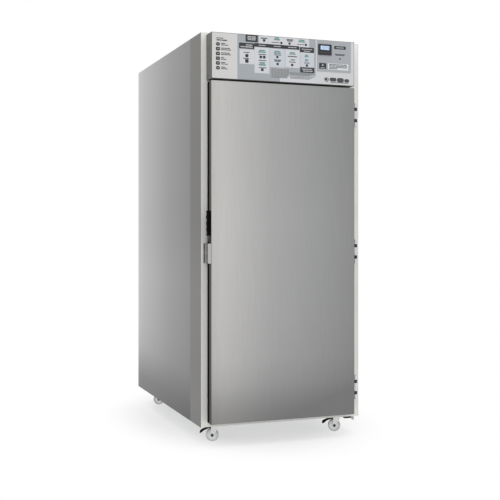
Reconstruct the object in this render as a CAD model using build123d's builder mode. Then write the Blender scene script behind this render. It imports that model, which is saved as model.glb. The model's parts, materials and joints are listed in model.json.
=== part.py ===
from build123d import *
import os

# Proofing cabinet: an insulated, heated and cooled cupboard on casters for
# trays of dough.  X is to the right, Y to the back, Z up; the origin is on the
# floor under the middle of the overall box.  Millimetres throughout.

# ---- driving dimensions ------------------------------------------------------
BODY_WIDTH = 820
BODY_DEPTH = 1240
BODY_HEIGHT = 1850

CLADDING = 1.2
BASE_PLATE = 3
BACK_INSULATION = 60
FRAME_DEPTH = 40
FRAME_WALL = 1.5
STILE_WIDTH = 78.8
SILL_HEIGHT = 70
HEADER_LAP = 58
HEADER_RISE = 6
DECK_DROP = 5
ROOF_LIP = 4

DOOR_INSET_LEFT = 29
DOOR_INSET_RIGHT = 55
DOOR_BOTTOM = 24
DOOR_FASCIA_GAP = 8
DOOR_PROUD = 70
DOOR_GAP = 10
DOOR_CORNER_RADIUS = 3
DOOR_SKIN_DEPTH = 28
DOOR_FRAME_WIDTH = 30
DOOR_FRAME_INSET = 1
GASKET_INSET = 4
GASKET_WIDTH = 16
GASKET_CLEARANCE = 0.3

FASCIA_INSET_LEFT = 28
FASCIA_INSET_RIGHT = 62
FASCIA_HEIGHT = 214
FASCIA_TOP_MARGIN = 10
FASCIA_PROUD = 80
OVERLAY_THICKNESS = 0.8
OVERLAY_MARGIN = 2

CONTROLLER_WIDTH = 70
CONTROLLER_HEIGHT = 52
CONTROLLER_PROUD = 4
CONTROLLER_BODY_DEPTH = 47
CONTROLLER_FROM_RIGHT = 157
CONTROLLER_FROM_TOP = 46.5
CONTROLLER_WALL = 2
CONTROLLER_FACE = 3
CONTROLLER_LIP = 3
WINDOW_WIDTH = 50
WINDOW_HEIGHT = 23
WINDOW_RISE = 9
WINDOW_THICKNESS = 1.6
WINDOW_LEDGE = 1.5
BUTTON_COUNT = 3
BUTTON_WIDTH = 12
BUTTON_HEIGHT = 7
BUTTON_PITCH = 18
BUTTON_DROP = 14
BUTTON_TRAVEL = 0.8
BUTTON_CLEARANCE = 0.2
BUTTON_FLANGE = 1

HINGE_LOWEST = 148
HINGE_MIDDLE = 819
HINGE_FROM_DOOR_TOP = 125
HINGE_AXIS_INSET = 25
HINGE_AXIS_PROUD = 20
HINGE_HEIGHT = 114
HINGE_CENTRE_KNUCKLE = 40
HINGE_KNUCKLE_RADIUS = 8
HINGE_BUSH_HEIGHT = 16
HINGE_BUSH_RADIUS = 8.5
HINGE_PIN_RADIUS = 4
HINGE_LEAF = 3
HINGE_LEAF_WIDTH = 34
HINGE_WEB = 8
HINGE_GAP = 0.3
PIN_CLEARANCE = 0.05

LATCH_HOUSING_WIDTH = 15
LATCH_HOUSING_DEPTH = 49
LATCH_HOUSING_SETBACK = 1
LATCH_HOUSING_BOTTOM = 770
LATCH_HOUSING_TOP = 862
LATCH_HOUSING_WALL = 1.5
LATCH_PIVOT_DEPTH = 26
LATCH_PIVOT_HEIGHT = 842
LATCH_PIN_RADIUS = 3
LATCH_LEVER_THICKNESS = 5
LATCH_SHANK_WIDTH = 14
LATCH_HUB_RADIUS = 9
LATCH_NOSE_GAP = 11
LATCH_NOSE_DROP = 14
LATCH_NOSE_LENGTH = 8
GRIP_BOTTOM = 899
GRIP_TOP = 1015
GRIP_WIDTH = 16
GRIP_DEPTH = 28
GRIP_PAST_DOOR = 1
GRIP_RIB_PITCH = 9
GRIP_RIB_DEPTH = 1
GRIP_CLEARANCE = 1.5
KEEPER_GAP = 2
KEEPER_PLATE_WIDTH = 15
KEEPER_BLOCK_WIDTH = 12
KEEPER_BLOCK_HEIGHT = 12
KEEPER_SCREW_RADIUS = 2.2
KEEPER_SCREW_INSET = 10

TRAY_PITCH = 68
FIRST_TRAY = 130
RUNNER_END_GAP = 57.6
RUNNER_LEDGE = 32
RUNNER_FLANGE = 18
RUNNER_THICKNESS = 1.5
UPRIGHT_WIDTH = 25
UPRIGHT_DEPTH = 15
RACK_FRONT_SETBACK = 30
UPRIGHT_SETBACK = 60

DUCT_DEPTH = 220
DUCT_PANEL = 1.5
DUCT_RETURN_GAP = 150
DUCT_SLOT_COLUMNS = 6
DUCT_SLOT_ROWS = 16
FAN_SPACING = 300
FAN_FROM_CEILING = 210
FAN_HOLE_RADIUS = 92
FAN_BLADE_RADIUS = 85
FAN_HUB_RADIUS = 24
FAN_HUB_LENGTH = 22
FAN_BLADES = 5
FAN_SHAFT_RADIUS = 4
FAN_MOTOR_RADIUS = 36
FAN_MOTOR_LENGTH = 40

CASTER_INSET_LEFT = 97
CASTER_INSET_RIGHT = 80
CASTER_INSET_FRONT = 75
CASTER_INSET_REAR = 165
CASTER_REST_ANGLE = -20
CASTER_TRAIL = 15
CASTER_PLATE_LENGTH = 100
CASTER_PLATE_WIDTH = 80
CASTER_PLATE = 3
CASTER_RACE_RADIUS = 23
CASTER_RACE = 2
CASTER_BOLT_RADIUS = 4
CASTER_BOLT_LENGTH_SPACING = 80
CASTER_BOLT_WIDTH_SPACING = 60
WHEEL_RADIUS = 31
WHEEL_WIDTH = 22
WHEEL_HUB_WIDTH = 25
WHEEL_HEADROOM = 8.4
AXLE_RADIUS = 4
FORK_THICKNESS = 2.5
FORK_HEAD_RADIUS = 23
FORK_HEAD = 7
KINGPIN_RADIUS = 6
KINGPIN_HEAD = 3
SWIVEL_GAP = 0.3

COMPRESSOR_RADIUS = 75
COMPRESSOR_HEIGHT = 165
CONDENSER_WIDTH = 340
CONDENSER_HEIGHT = 190
CONDENSER_DEPTH = 66
CONDENSER_FAN_RADIUS = 84
PIPE_RADIUS = 5
PIPE_PORT_RADIUS = 22

SPIGOT_RADIUS = 8
SPIGOT_BORE = 6
SPIGOT_REACH = 30
SPIGOT_HEIGHT = 84
GLAND_RADIUS = 12
GLAND_BORE = 5
GLAND_REACH = 22
GLAND_ABOVE_DECK = 79
HOLE_CLEARANCE = 0.5

# ---- places worked out from them ----------------------------------------------
HALF_WIDTH = BODY_WIDTH / 2
BUTTON_PROUD = BUTTON_TRAVEL + BUTTON_CLEARANCE
FRONT_PROUD = FASCIA_PROUD + CONTROLLER_PROUD + BUTTON_PROUD
FRAME_Y = (FRONT_PROUD - BODY_DEPTH - SPIGOT_REACH) / 2
REAR_Y = FRAME_Y + BODY_DEPTH
FORK_HEAD_BOTTOM = 2 * WHEEL_RADIUS + WHEEL_HEADROOM + KINGPIN_HEAD + SWIVEL_GAP
FORK_TOP = FORK_HEAD_BOTTOM + FORK_HEAD
RACE_BOTTOM = FORK_TOP + SWIVEL_GAP
PLATE_BOTTOM = RACE_BOTTOM + CASTER_RACE
BASE_Z = PLATE_BOTTOM + CASTER_PLATE
TOP_Z = BASE_Z + BODY_HEIGHT

# Heights from here to the next blank line count from the bottom of the body.
FASCIA_TOP = BODY_HEIGHT - FASCIA_TOP_MARGIN
FASCIA_BOTTOM = FASCIA_TOP - FASCIA_HEIGHT
DOOR_TOP = FASCIA_BOTTOM - DOOR_FASCIA_GAP
CHAMBER_TOP = DOOR_TOP - HEADER_LAP
DECK_HEIGHT = FASCIA_BOTTOM - DECK_DROP
HEADER_TOP = FASCIA_BOTTOM + HEADER_RISE
HINGE_HEIGHTS = (HINGE_LOWEST, HINGE_MIDDLE, DOOR_TOP - HINGE_FROM_DOOR_TOP)
TRAY_LEVELS = int((CHAMBER_TOP - FIRST_TRAY) / TRAY_PITCH) - 1
GLAND_HEIGHT = DECK_HEIGHT + GLAND_ABOVE_DECK

INNER_WIDTH = HALF_WIDTH - CLADDING
OPENING = INNER_WIDTH - STILE_WIDTH
CHAMBER_FRONT_Y = FRAME_Y + FRAME_DEPTH
CHAMBER_BACK_Y = REAR_Y - 2 * CLADDING - BACK_INSULATION
BACK_SLAB_Y = REAR_Y - CLADDING - BACK_INSULATION
SLAB_X = OPENING + CLADDING
FLOOR_Z = BASE_Z + SILL_HEIGHT
CEILING_Z = BASE_Z + CHAMBER_TOP
DECK_Z = BASE_Z + DECK_HEIGHT
MACHINE_Z = DECK_Z + CLADDING

DOOR_LEFT = -HALF_WIDTH + DOOR_INSET_LEFT
DOOR_RIGHT = HALF_WIDTH - DOOR_INSET_RIGHT
DOOR_WIDTH = DOOR_RIGHT - DOOR_LEFT
DOOR_X = (DOOR_LEFT + DOOR_RIGHT) / 2
DOOR_FRONT_Y = FRAME_Y - DOOR_PROUD
DOOR_BACK_Y = FRAME_Y - DOOR_GAP
DOOR_Z = BASE_Z + (DOOR_BOTTOM + DOOR_TOP) / 2
DOOR_TALL = DOOR_TOP - DOOR_BOTTOM
DOOR_STEP_Y = DOOR_FRONT_Y + DOOR_SKIN_DEPTH

FASCIA_LEFT = -HALF_WIDTH + FASCIA_INSET_LEFT
FASCIA_RIGHT = HALF_WIDTH - FASCIA_INSET_RIGHT
FASCIA_X = (FASCIA_LEFT + FASCIA_RIGHT) / 2
FASCIA_Z = BASE_Z + (FASCIA_BOTTOM + FASCIA_TOP) / 2
FASCIA_FACE_Y = FRAME_Y - FASCIA_PROUD
FASCIA_SHEET_Y = FASCIA_FACE_Y + OVERLAY_THICKNESS

HINGE_X = HALF_WIDTH - HINGE_AXIS_INSET
HINGE_Y = FRAME_Y - HINGE_AXIS_PROUD
DUCT_Y = CHAMBER_BACK_Y - DUCT_DEPTH

CONTROLLER_CENTRE_X = FASCIA_RIGHT - CONTROLLER_FROM_RIGHT
CONTROLLER_Z = BASE_Z + FASCIA_TOP - CONTROLLER_FROM_TOP
CONTROLLER_BEZEL_Y = FASCIA_FACE_Y - CONTROLLER_PROUD
CONTROLLER_INNER_Y = CONTROLLER_BEZEL_Y + CONTROLLER_FACE
CONTROLLER_BODY_WIDTH = CONTROLLER_WIDTH - 2 * CONTROLLER_LIP
CONTROLLER_BODY_HEIGHT = CONTROLLER_HEIGHT - 2 * CONTROLLER_LIP
BUTTON_XS = [CONTROLLER_CENTRE_X + BUTTON_PITCH * (i - (BUTTON_COUNT - 1) / 2)
             for i in range(BUTTON_COUNT)]

RACK_FRONT_Y = CHAMBER_FRONT_Y + RACK_FRONT_SETBACK
RUNNER_LENGTH = DUCT_Y - RUNNER_END_GAP - RACK_FRONT_Y
UPRIGHT_YS = (RACK_FRONT_Y + UPRIGHT_SETBACK,
              RACK_FRONT_Y + RUNNER_LENGTH - UPRIGHT_SETBACK)
RUNNER_X = OPENING - UPRIGHT_DEPTH
PIPE_PORT_X = -OPENING + 2.5 * PIPE_PORT_RADIUS
PIPE_PORT_Y = CHAMBER_BACK_Y - DUCT_DEPTH / 2
GLAND_X = OPENING - 4 * GLAND_RADIUS

CASTER_XS = (-HALF_WIDTH + CASTER_INSET_LEFT, HALF_WIDTH - CASTER_INSET_RIGHT)
CASTER_YS = (FRAME_Y + CASTER_INSET_FRONT, REAR_Y - CASTER_INSET_REAR)
CASTER_PLACES = {
    "front_left": (CASTER_XS[0], CASTER_YS[0]),
    "front_right": (CASTER_XS[1], CASTER_YS[0]),
    "rear_left": (CASTER_XS[0], CASTER_YS[1]),
    "rear_right": (CASTER_XS[1], CASTER_YS[1]),
}

os.makedirs("parts", exist_ok=True)


def save(part, node):
    """Labels a finished piece and writes it as its own STEP file."""
    part.label = node
    export_step(part, f"parts/{node}.step")


def block(x0, x1, y0, y1, z0, z1, mode=Mode.ADD):
    """Adds, or cuts, a plain block between two corners in the part being built."""
    with Locations(((x0 + x1) / 2, (y0 + y1) / 2, (z0 + z1) / 2)):
        Box(x1 - x0, y1 - y0, z1 - z0, mode=mode)


def rod(x, y, z, radius, length, direction, mode=Mode.ADD):
    """Adds, or cuts, a round bar that starts at a point and runs along a direction."""
    with BuildSketch(Plane(origin=(x, y, z), z_dir=direction)) as section:
        Circle(radius)
    extrude(section.sketch, amount=length, mode=mode)


def sheet(x0, x1, y0, y1, z0, z1):
    """A separate plain sheet or slab between two corners."""
    with BuildPart() as piece:
        block(x0, x1, y0, y1, z0, z1)
    return piece.part


def save_group(parts, node):
    """Writes pieces that stay separate solids as one node."""
    save(Compound(children=[part.solid() for part in parts]), node)


# ---- base, frame and cladding -------------------------------------------------
VENT_LENGTH = 110
VENT_WIDTH = 7
VENT_PITCH = 16
VENT_COLUMNS = 3
VENT_ROWS = 10


def make_base_pan():
    """Steel plate under the cabinet, with holes for the caster bolts."""
    with BuildPart() as base_pan:
        block(-INNER_WIDTH, INNER_WIDTH, CHAMBER_FRONT_Y, REAR_Y - CLADDING,
              BASE_Z, BASE_Z + BASE_PLATE)
        for x, y in CASTER_PLACES.values():
            with BuildSketch(Plane.XY.offset(BASE_Z)):
                with Locations((x, y)):
                    with GridLocations(CASTER_BOLT_LENGTH_SPACING, CASTER_BOLT_WIDTH_SPACING, 2, 2):
                        Circle(CASTER_BOLT_RADIUS + HOLE_CLEARANCE)
            extrude(amount=BASE_PLATE, mode=Mode.SUBTRACT)
    save(base_pan.part, "base_pan")


def make_frame_stiles():
    """Two upright box tubes beside the door opening, full height."""
    with BuildPart() as frame_stiles:
        for side in (-1, 1):
            with BuildSketch(Plane.XY.offset(BASE_Z)):
                with Locations((side * (OPENING + STILE_WIDTH / 2), FRAME_Y + FRAME_DEPTH / 2)):
                    Rectangle(STILE_WIDTH, FRAME_DEPTH)
                    Rectangle(STILE_WIDTH - 2 * FRAME_WALL, FRAME_DEPTH - 2 * FRAME_WALL,
                              mode=Mode.SUBTRACT)
            extrude(amount=BODY_HEIGHT - CLADDING)
    save(frame_stiles.part, "frame_stiles")


def make_cross_tube(node, bottom, top):
    """Box tube between the stiles, which the door gasket meets."""
    with BuildPart() as tube:
        with BuildSketch(Plane.YZ.offset(-OPENING)):
            with Locations((FRAME_Y + FRAME_DEPTH / 2, BASE_Z + (bottom + top) / 2)):
                Rectangle(FRAME_DEPTH, top - bottom)
                Rectangle(FRAME_DEPTH - 2 * FRAME_WALL, top - bottom - 2 * FRAME_WALL,
                          mode=Mode.SUBTRACT)
        extrude(amount=2 * OPENING)
    save(tube.part, node)


def make_side_skins():
    """Flat stainless sheets that cover the sides from bottom to top."""
    for node, side in (("side_skin_left", -1), ("side_skin_right", 1)):
        with BuildPart() as skin:
            x_inner, x_outer = sorted((side * INNER_WIDTH, side * HALF_WIDTH))
            block(x_inner, x_outer, FRAME_Y, REAR_Y, BASE_Z, TOP_Z)
        save(skin.part, node)


def make_back_skin():
    """Rear sheet with air slots behind the condenser and holes for drain and cable."""
    with BuildPart() as back_skin:
        block(-INNER_WIDTH, INNER_WIDTH, REAR_Y - CLADDING, REAR_Y, BASE_Z, TOP_Z)
        with BuildSketch(Plane.XZ.offset(-REAR_Y)):
            with Locations((0, (MACHINE_Z + TOP_Z) / 2)):
                with GridLocations(VENT_LENGTH + 20, VENT_PITCH, VENT_COLUMNS, VENT_ROWS):
                    SlotOverall(VENT_LENGTH, VENT_WIDTH)
            with Locations((0, BASE_Z + SPIGOT_HEIGHT)):
                Circle(SPIGOT_RADIUS + HOLE_CLEARANCE)
            with Locations((GLAND_X, BASE_Z + GLAND_HEIGHT)):
                Circle(GLAND_RADIUS + HOLE_CLEARANCE)
        extrude(amount=CLADDING, mode=Mode.SUBTRACT)
    save(back_skin.part, "back_skin")


def make_roof_cover():
    """Top sheet with a front lip folded down behind the fascia."""
    with BuildPart() as roof_cover:
        block(-INNER_WIDTH, INNER_WIDTH, FRAME_Y, REAR_Y - CLADDING, TOP_Z - CLADDING, TOP_Z)
        block(-OPENING, OPENING, FRAME_Y, FRAME_Y + CLADDING,
              BASE_Z + FASCIA_TOP - ROOF_LIP, TOP_Z - CLADDING)
    save(roof_cover.part, "roof_cover")


def make_insulation_slabs():
    """Rigid foam slabs: two sides, back, floor and ceiling, as separate solids."""
    bottom = BASE_Z + BASE_PLATE
    slabs = [
        sheet(-INNER_WIDTH, -SLAB_X, CHAMBER_FRONT_Y, REAR_Y - CLADDING, bottom, DECK_Z),
        sheet(SLAB_X, INNER_WIDTH, CHAMBER_FRONT_Y, REAR_Y - CLADDING, bottom, DECK_Z),
        sheet(-SLAB_X, SLAB_X, CHAMBER_FRONT_Y, BACK_SLAB_Y, bottom, FLOOR_Z - CLADDING),
    ]
    with BuildPart() as back:
        block(-SLAB_X, SLAB_X, BACK_SLAB_Y, REAR_Y - CLADDING, bottom, DECK_Z)
        rod(0, BACK_SLAB_Y, BASE_Z + SPIGOT_HEIGHT, SPIGOT_RADIUS + HOLE_CLEARANCE,
            BACK_INSULATION, (0, 1, 0), Mode.SUBTRACT)
    with BuildPart() as ceiling:
        block(-SLAB_X, SLAB_X, CHAMBER_FRONT_Y, BACK_SLAB_Y, CEILING_Z + CLADDING, DECK_Z)
        rod(PIPE_PORT_X, PIPE_PORT_Y, CEILING_Z, PIPE_PORT_RADIUS, DECK_Z - CEILING_Z,
            (0, 0, 1), Mode.SUBTRACT)
    save_group(slabs + [back.part, ceiling.part], "insulation_slabs")


def make_chamber_liner():
    """Stainless inner lining: sides, back, floor and ceiling sheets."""
    sheets = [
        sheet(-SLAB_X, -OPENING, CHAMBER_FRONT_Y, CHAMBER_BACK_Y, FLOOR_Z, CEILING_Z),
        sheet(OPENING, SLAB_X, CHAMBER_FRONT_Y, CHAMBER_BACK_Y, FLOOR_Z, CEILING_Z),
        sheet(-SLAB_X, SLAB_X, CHAMBER_FRONT_Y, BACK_SLAB_Y, FLOOR_Z - CLADDING, FLOOR_Z),
    ]
    with BuildPart() as back:
        block(-SLAB_X, SLAB_X, CHAMBER_BACK_Y, BACK_SLAB_Y, FLOOR_Z, CEILING_Z)
        rod(0, CHAMBER_BACK_Y, BASE_Z + SPIGOT_HEIGHT, SPIGOT_RADIUS + HOLE_CLEARANCE,
            CLADDING, (0, 1, 0), Mode.SUBTRACT)
    with BuildPart() as ceiling:
        block(-SLAB_X, SLAB_X, CHAMBER_FRONT_Y, BACK_SLAB_Y, CEILING_Z, CEILING_Z + CLADDING)
        rod(PIPE_PORT_X, PIPE_PORT_Y, CEILING_Z, PIPE_PORT_RADIUS, CLADDING,
            (0, 0, 1), Mode.SUBTRACT)
    save_group(sheets + [back.part, ceiling.part], "chamber_liner")


def make_machine_deck():
    """Sheet over the insulated ceiling that carries the refrigeration unit."""
    with BuildPart() as machine_deck:
        block(-INNER_WIDTH, INNER_WIDTH, CHAMBER_FRONT_Y, REAR_Y - CLADDING, DECK_Z, MACHINE_Z)
        rod(PIPE_PORT_X, PIPE_PORT_Y, DECK_Z, PIPE_PORT_RADIUS, CLADDING, (0, 0, 1), Mode.SUBTRACT)
    save(machine_deck.part, "machine_deck")


# ---- door ----------------------------------------------------------------------
def make_door_outer_skin():
    """Stainless pan: the brushed front sheet folded back on all four sides."""
    with BuildPart() as door_outer_skin:
        with Locations((DOOR_X, DOOR_FRONT_Y + DOOR_SKIN_DEPTH / 2, DOOR_Z)):
            Box(DOOR_WIDTH, DOOR_SKIN_DEPTH, DOOR_TALL)
        fillet(door_outer_skin.edges().filter_by(Axis.Z).group_by(Axis.Y)[0],
               radius=DOOR_CORNER_RADIUS)
        offset(amount=-CLADDING, openings=door_outer_skin.faces().sort_by(Axis.Y)[-1])
    save(door_outer_skin.part, "door_outer_skin")


def make_door_inner_frame():
    """Black plastic ring behind the skin that breaks the cold path and holds the gasket."""
    outer_width = DOOR_WIDTH - 2 * DOOR_FRAME_INSET
    outer_height = DOOR_TALL - 2 * DOOR_FRAME_INSET
    with BuildPart() as door_inner_frame:
        with BuildSketch(Plane.XZ.offset(-DOOR_BACK_Y)):
            with Locations((DOOR_X, DOOR_Z)):
                Rectangle(outer_width, outer_height)
                Rectangle(outer_width - 2 * DOOR_FRAME_WIDTH, outer_height - 2 * DOOR_FRAME_WIDTH,
                          mode=Mode.SUBTRACT)
        extrude(amount=DOOR_BACK_Y - DOOR_STEP_Y)
    save(door_inner_frame.part, "door_inner_frame")


def make_door_insulation():
    """Foam core that fills the front pan and the middle of the ring."""
    step = DOOR_FRAME_INSET + DOOR_FRAME_WIDTH
    with BuildPart() as door_insulation:
        with Locations((DOOR_X, (DOOR_FRONT_Y + CLADDING + DOOR_STEP_Y) / 2, DOOR_Z)):
            Box(DOOR_WIDTH - 2 * CLADDING, DOOR_SKIN_DEPTH - CLADDING, DOOR_TALL - 2 * CLADDING)
        fillet(door_insulation.edges().filter_by(Axis.Z).group_by(Axis.Y)[0],
               radius=DOOR_CORNER_RADIUS - CLADDING)
        with Locations((DOOR_X, (DOOR_STEP_Y + DOOR_BACK_Y - CLADDING) / 2, DOOR_Z)):
            Box(DOOR_WIDTH - 2 * step, DOOR_BACK_Y - CLADDING - DOOR_STEP_Y, DOOR_TALL - 2 * step)
    save(door_insulation.part, "door_insulation")


def make_door_inner_liner():
    """Stainless sheet that closes the back of the door inside the ring."""
    step = DOOR_FRAME_INSET + DOOR_FRAME_WIDTH
    with BuildPart() as door_inner_liner:
        block(DOOR_LEFT + step, DOOR_RIGHT - step, DOOR_BACK_Y - CLADDING, DOOR_BACK_Y,
              BASE_Z + DOOR_BOTTOM + step, BASE_Z + DOOR_TOP - step)
    save(door_inner_liner.part, "door_inner_liner")


def make_door_gasket():
    """Four rubber strips round the back of the door, with a rounded sealing lip."""
    left, right = DOOR_LEFT + GASKET_INSET, DOOR_RIGHT - GASKET_INSET
    bottom, top = BASE_Z + DOOR_BOTTOM + GASKET_INSET, BASE_Z + DOOR_TOP - GASKET_INSET
    lip_y = FRAME_Y - GASKET_CLEARANCE
    spans = [
        (left, left + GASKET_WIDTH, bottom, top, Axis.Z),
        (right - GASKET_WIDTH, right, bottom, top, Axis.Z),
        (left + GASKET_WIDTH, right - GASKET_WIDTH, bottom, bottom + GASKET_WIDTH, Axis.X),
        (left + GASKET_WIDTH, right - GASKET_WIDTH, top - GASKET_WIDTH, top, Axis.X),
    ]
    strips = []
    for x0, x1, z0, z1, run in spans:
        with BuildPart() as strip:
            block(x0, x1, DOOR_BACK_Y, lip_y, z0, z1)
            fillet(strip.edges().filter_by(run).group_by(Axis.Y)[-1], radius=GASKET_WIDTH / 4)
        strips.append(strip.part)
    save_group(strips, "door_gasket")


# ---- hinges --------------------------------------------------------------------
def hinge_spans(height):
    """Lowest and highest points of the lower, centre and upper knuckles."""
    middle = BASE_Z + height
    outer = HINGE_HEIGHT / 2
    inner = HINGE_CENTRE_KNUCKLE / 2
    bush = inner + HINGE_BUSH_HEIGHT
    lower = (middle - outer, middle - bush)
    centre = (middle - inner, middle + inner)
    upper = (middle + bush, middle + outer)
    return lower, centre, upper


def make_hinge_frame_halves():
    """Leaf on the stile, two outer knuckles on webs, and the pin between them."""
    pieces = []
    for height in HINGE_HEIGHTS:
        lower, _, upper = hinge_spans(height)
        pieces.append(sheet(HINGE_X - HINGE_LEAF_WIDTH / 2, HINGE_X + HINGE_LEAF_WIDTH / 2,
                            FRAME_Y - HINGE_LEAF, FRAME_Y, lower[0], upper[1]))
        for bottom, top in (lower, upper):
            with BuildPart() as knuckle:
                block(HINGE_X - HINGE_WEB / 2, HINGE_X + HINGE_WEB / 2, HINGE_Y,
                      FRAME_Y - HINGE_LEAF, bottom, top)
                rod(HINGE_X, HINGE_Y, bottom, HINGE_KNUCKLE_RADIUS, top - bottom, (0, 0, 1))
            pieces.append(knuckle.part)
        with BuildPart() as pin:
            rod(HINGE_X, HINGE_Y, lower[1], HINGE_PIN_RADIUS, upper[0] - lower[1], (0, 0, 1))
        pieces.append(pin.part)
    save_group(pieces, "hinge_frame_halves")


def make_hinge_door_halves():
    """Leaf on the edge of the door with the centre knuckle that turns on the pin."""
    pieces = []
    for height in HINGE_HEIGHTS:
        lower, centre, upper = hinge_spans(height)
        leaf_right = DOOR_RIGHT + HINGE_LEAF
        pieces.append(sheet(DOOR_RIGHT, leaf_right, DOOR_FRONT_Y + 8, FRAME_Y - 14,
                            lower[0], upper[1]))
        with BuildPart() as knuckle:
            block(leaf_right, HINGE_X, HINGE_Y - HINGE_WEB / 2, HINGE_Y + HINGE_WEB / 2,
                  centre[0] + HINGE_GAP, centre[1] - HINGE_GAP)
            rod(HINGE_X, HINGE_Y, centre[0] + HINGE_GAP, HINGE_KNUCKLE_RADIUS,
                HINGE_CENTRE_KNUCKLE - 2 * HINGE_GAP, (0, 0, 1))
            rod(HINGE_X, HINGE_Y, centre[0], HINGE_PIN_RADIUS + PIN_CLEARANCE,
                HINGE_CENTRE_KNUCKLE, (0, 0, 1), Mode.SUBTRACT)
        pieces.append(knuckle.part)
    save_group(pieces, "hinge_door_halves")


def make_hinge_bushes():
    """Black plastic collars on the pin, above and below the centre knuckle."""
    bushes = []
    for height in HINGE_HEIGHTS:
        lower, centre, upper = hinge_spans(height)
        for bottom, top in ((lower[1], centre[0]), (centre[1], upper[0])):
            with BuildPart() as bush:
                rod(HINGE_X, HINGE_Y, bottom, HINGE_BUSH_RADIUS, top - bottom, (0, 0, 1))
                rod(HINGE_X, HINGE_Y, bottom, HINGE_PIN_RADIUS + PIN_CLEARANCE, top - bottom,
                    (0, 0, 1), Mode.SUBTRACT)
            bushes.append(bush.part)
    save_group(bushes, "hinge_bushes")


# ---- latch ---------------------------------------------------------------------
LATCH_RIGHT = DOOR_LEFT
LATCH_LEFT = DOOR_LEFT - LATCH_HOUSING_WIDTH
LATCH_X = (LATCH_LEFT + LATCH_HOUSING_WALL + LATCH_RIGHT) / 2
LATCH_FRONT_Y = DOOR_FRONT_Y + LATCH_HOUSING_SETBACK
LATCH_PIVOT_Y = LATCH_FRONT_Y + LATCH_PIVOT_DEPTH
LATCH_PIVOT_Z = BASE_Z + LATCH_PIVOT_HEIGHT
GRIP_X = DOOR_LEFT - GRIP_CLEARANCE - GRIP_WIDTH / 2
GRIP_Y = DOOR_FRONT_Y - GRIP_PAST_DOOR + GRIP_DEPTH / 2
NOSE_Y = FRAME_Y - LATCH_NOSE_GAP
NOSE_Z = LATCH_PIVOT_Z - LATCH_NOSE_DROP
KEEPER_TOP_Z = NOSE_Z - KEEPER_GAP


def make_latch_housing():
    """Metal box on the edge of the door, open to the top and rear, with the lever's pin."""
    front = LATCH_FRONT_Y
    rear = front + LATCH_HOUSING_DEPTH
    bottom, top = BASE_Z + LATCH_HOUSING_BOTTOM, BASE_Z + LATCH_HOUSING_TOP
    wall = LATCH_HOUSING_WALL
    with BuildPart() as latch_housing:
        block(LATCH_LEFT, LATCH_RIGHT, front, rear, bottom, top)
        fillet(latch_housing.edges().filter_by(Axis.Z).group_by(Axis.Y)[0].sort_by(Axis.X)[0],
               radius=2)
        block(LATCH_LEFT + wall, LATCH_RIGHT, front + wall, rear - wall, bottom + wall, top,
              Mode.SUBTRACT)
        block(LATCH_LEFT + wall, LATCH_RIGHT, rear - wall, rear,
              KEEPER_TOP_Z, top, Mode.SUBTRACT)
        rod(LATCH_LEFT, LATCH_PIVOT_Y, LATCH_PIVOT_Z, LATCH_PIN_RADIUS, LATCH_HOUSING_WIDTH,
            (1, 0, 0))
    save(latch_housing.part, "latch_housing")


def make_latch_lever():
    """Flat steel lever on the pin: shank up into the grip, nose back to the keeper."""
    half = LATCH_SHANK_WIDTH / 2
    elbow_z = BASE_Z + LATCH_HOUSING_TOP
    with BuildPart() as latch_lever:
        with BuildSketch(Plane.YZ.offset(LATCH_X - LATCH_LEVER_THICKNESS / 2)):
            with Locations((LATCH_PIVOT_Y, LATCH_PIVOT_Z)):
                Circle(LATCH_HUB_RADIUS)
            with BuildLine():
                Polyline(
                    (LATCH_PIVOT_Y - half, LATCH_PIVOT_Z),
                    (LATCH_PIVOT_Y + half, LATCH_PIVOT_Z),
                    (LATCH_PIVOT_Y + half, elbow_z),
                    (GRIP_Y + half, BASE_Z + GRIP_BOTTOM),
                    (GRIP_Y + half, BASE_Z + GRIP_TOP - LATCH_SHANK_WIDTH),
                    (GRIP_Y - half, BASE_Z + GRIP_TOP - LATCH_SHANK_WIDTH),
                    (GRIP_Y - half, BASE_Z + GRIP_BOTTOM),
                    (LATCH_PIVOT_Y - half, elbow_z),
                    close=True,
                )
            make_face()
            with BuildLine():
                Polyline(
                    (LATCH_PIVOT_Y, LATCH_PIVOT_Z + 4),
                    (NOSE_Y - 2, LATCH_PIVOT_Z + 4),
                    (NOSE_Y, LATCH_PIVOT_Z),
                    (NOSE_Y, NOSE_Z),
                    (NOSE_Y - LATCH_NOSE_LENGTH, NOSE_Z),
                    (NOSE_Y - LATCH_NOSE_LENGTH, LATCH_PIVOT_Z - 8),
                    (LATCH_PIVOT_Y, LATCH_PIVOT_Z - 8),
                    close=True,
                )
            make_face()
            with Locations((LATCH_PIVOT_Y, LATCH_PIVOT_Z)):
                Circle(LATCH_PIN_RADIUS + PIN_CLEARANCE, mode=Mode.SUBTRACT)
        extrude(amount=LATCH_LEVER_THICKNESS)
    save(latch_lever.part, "latch_lever")


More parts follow.
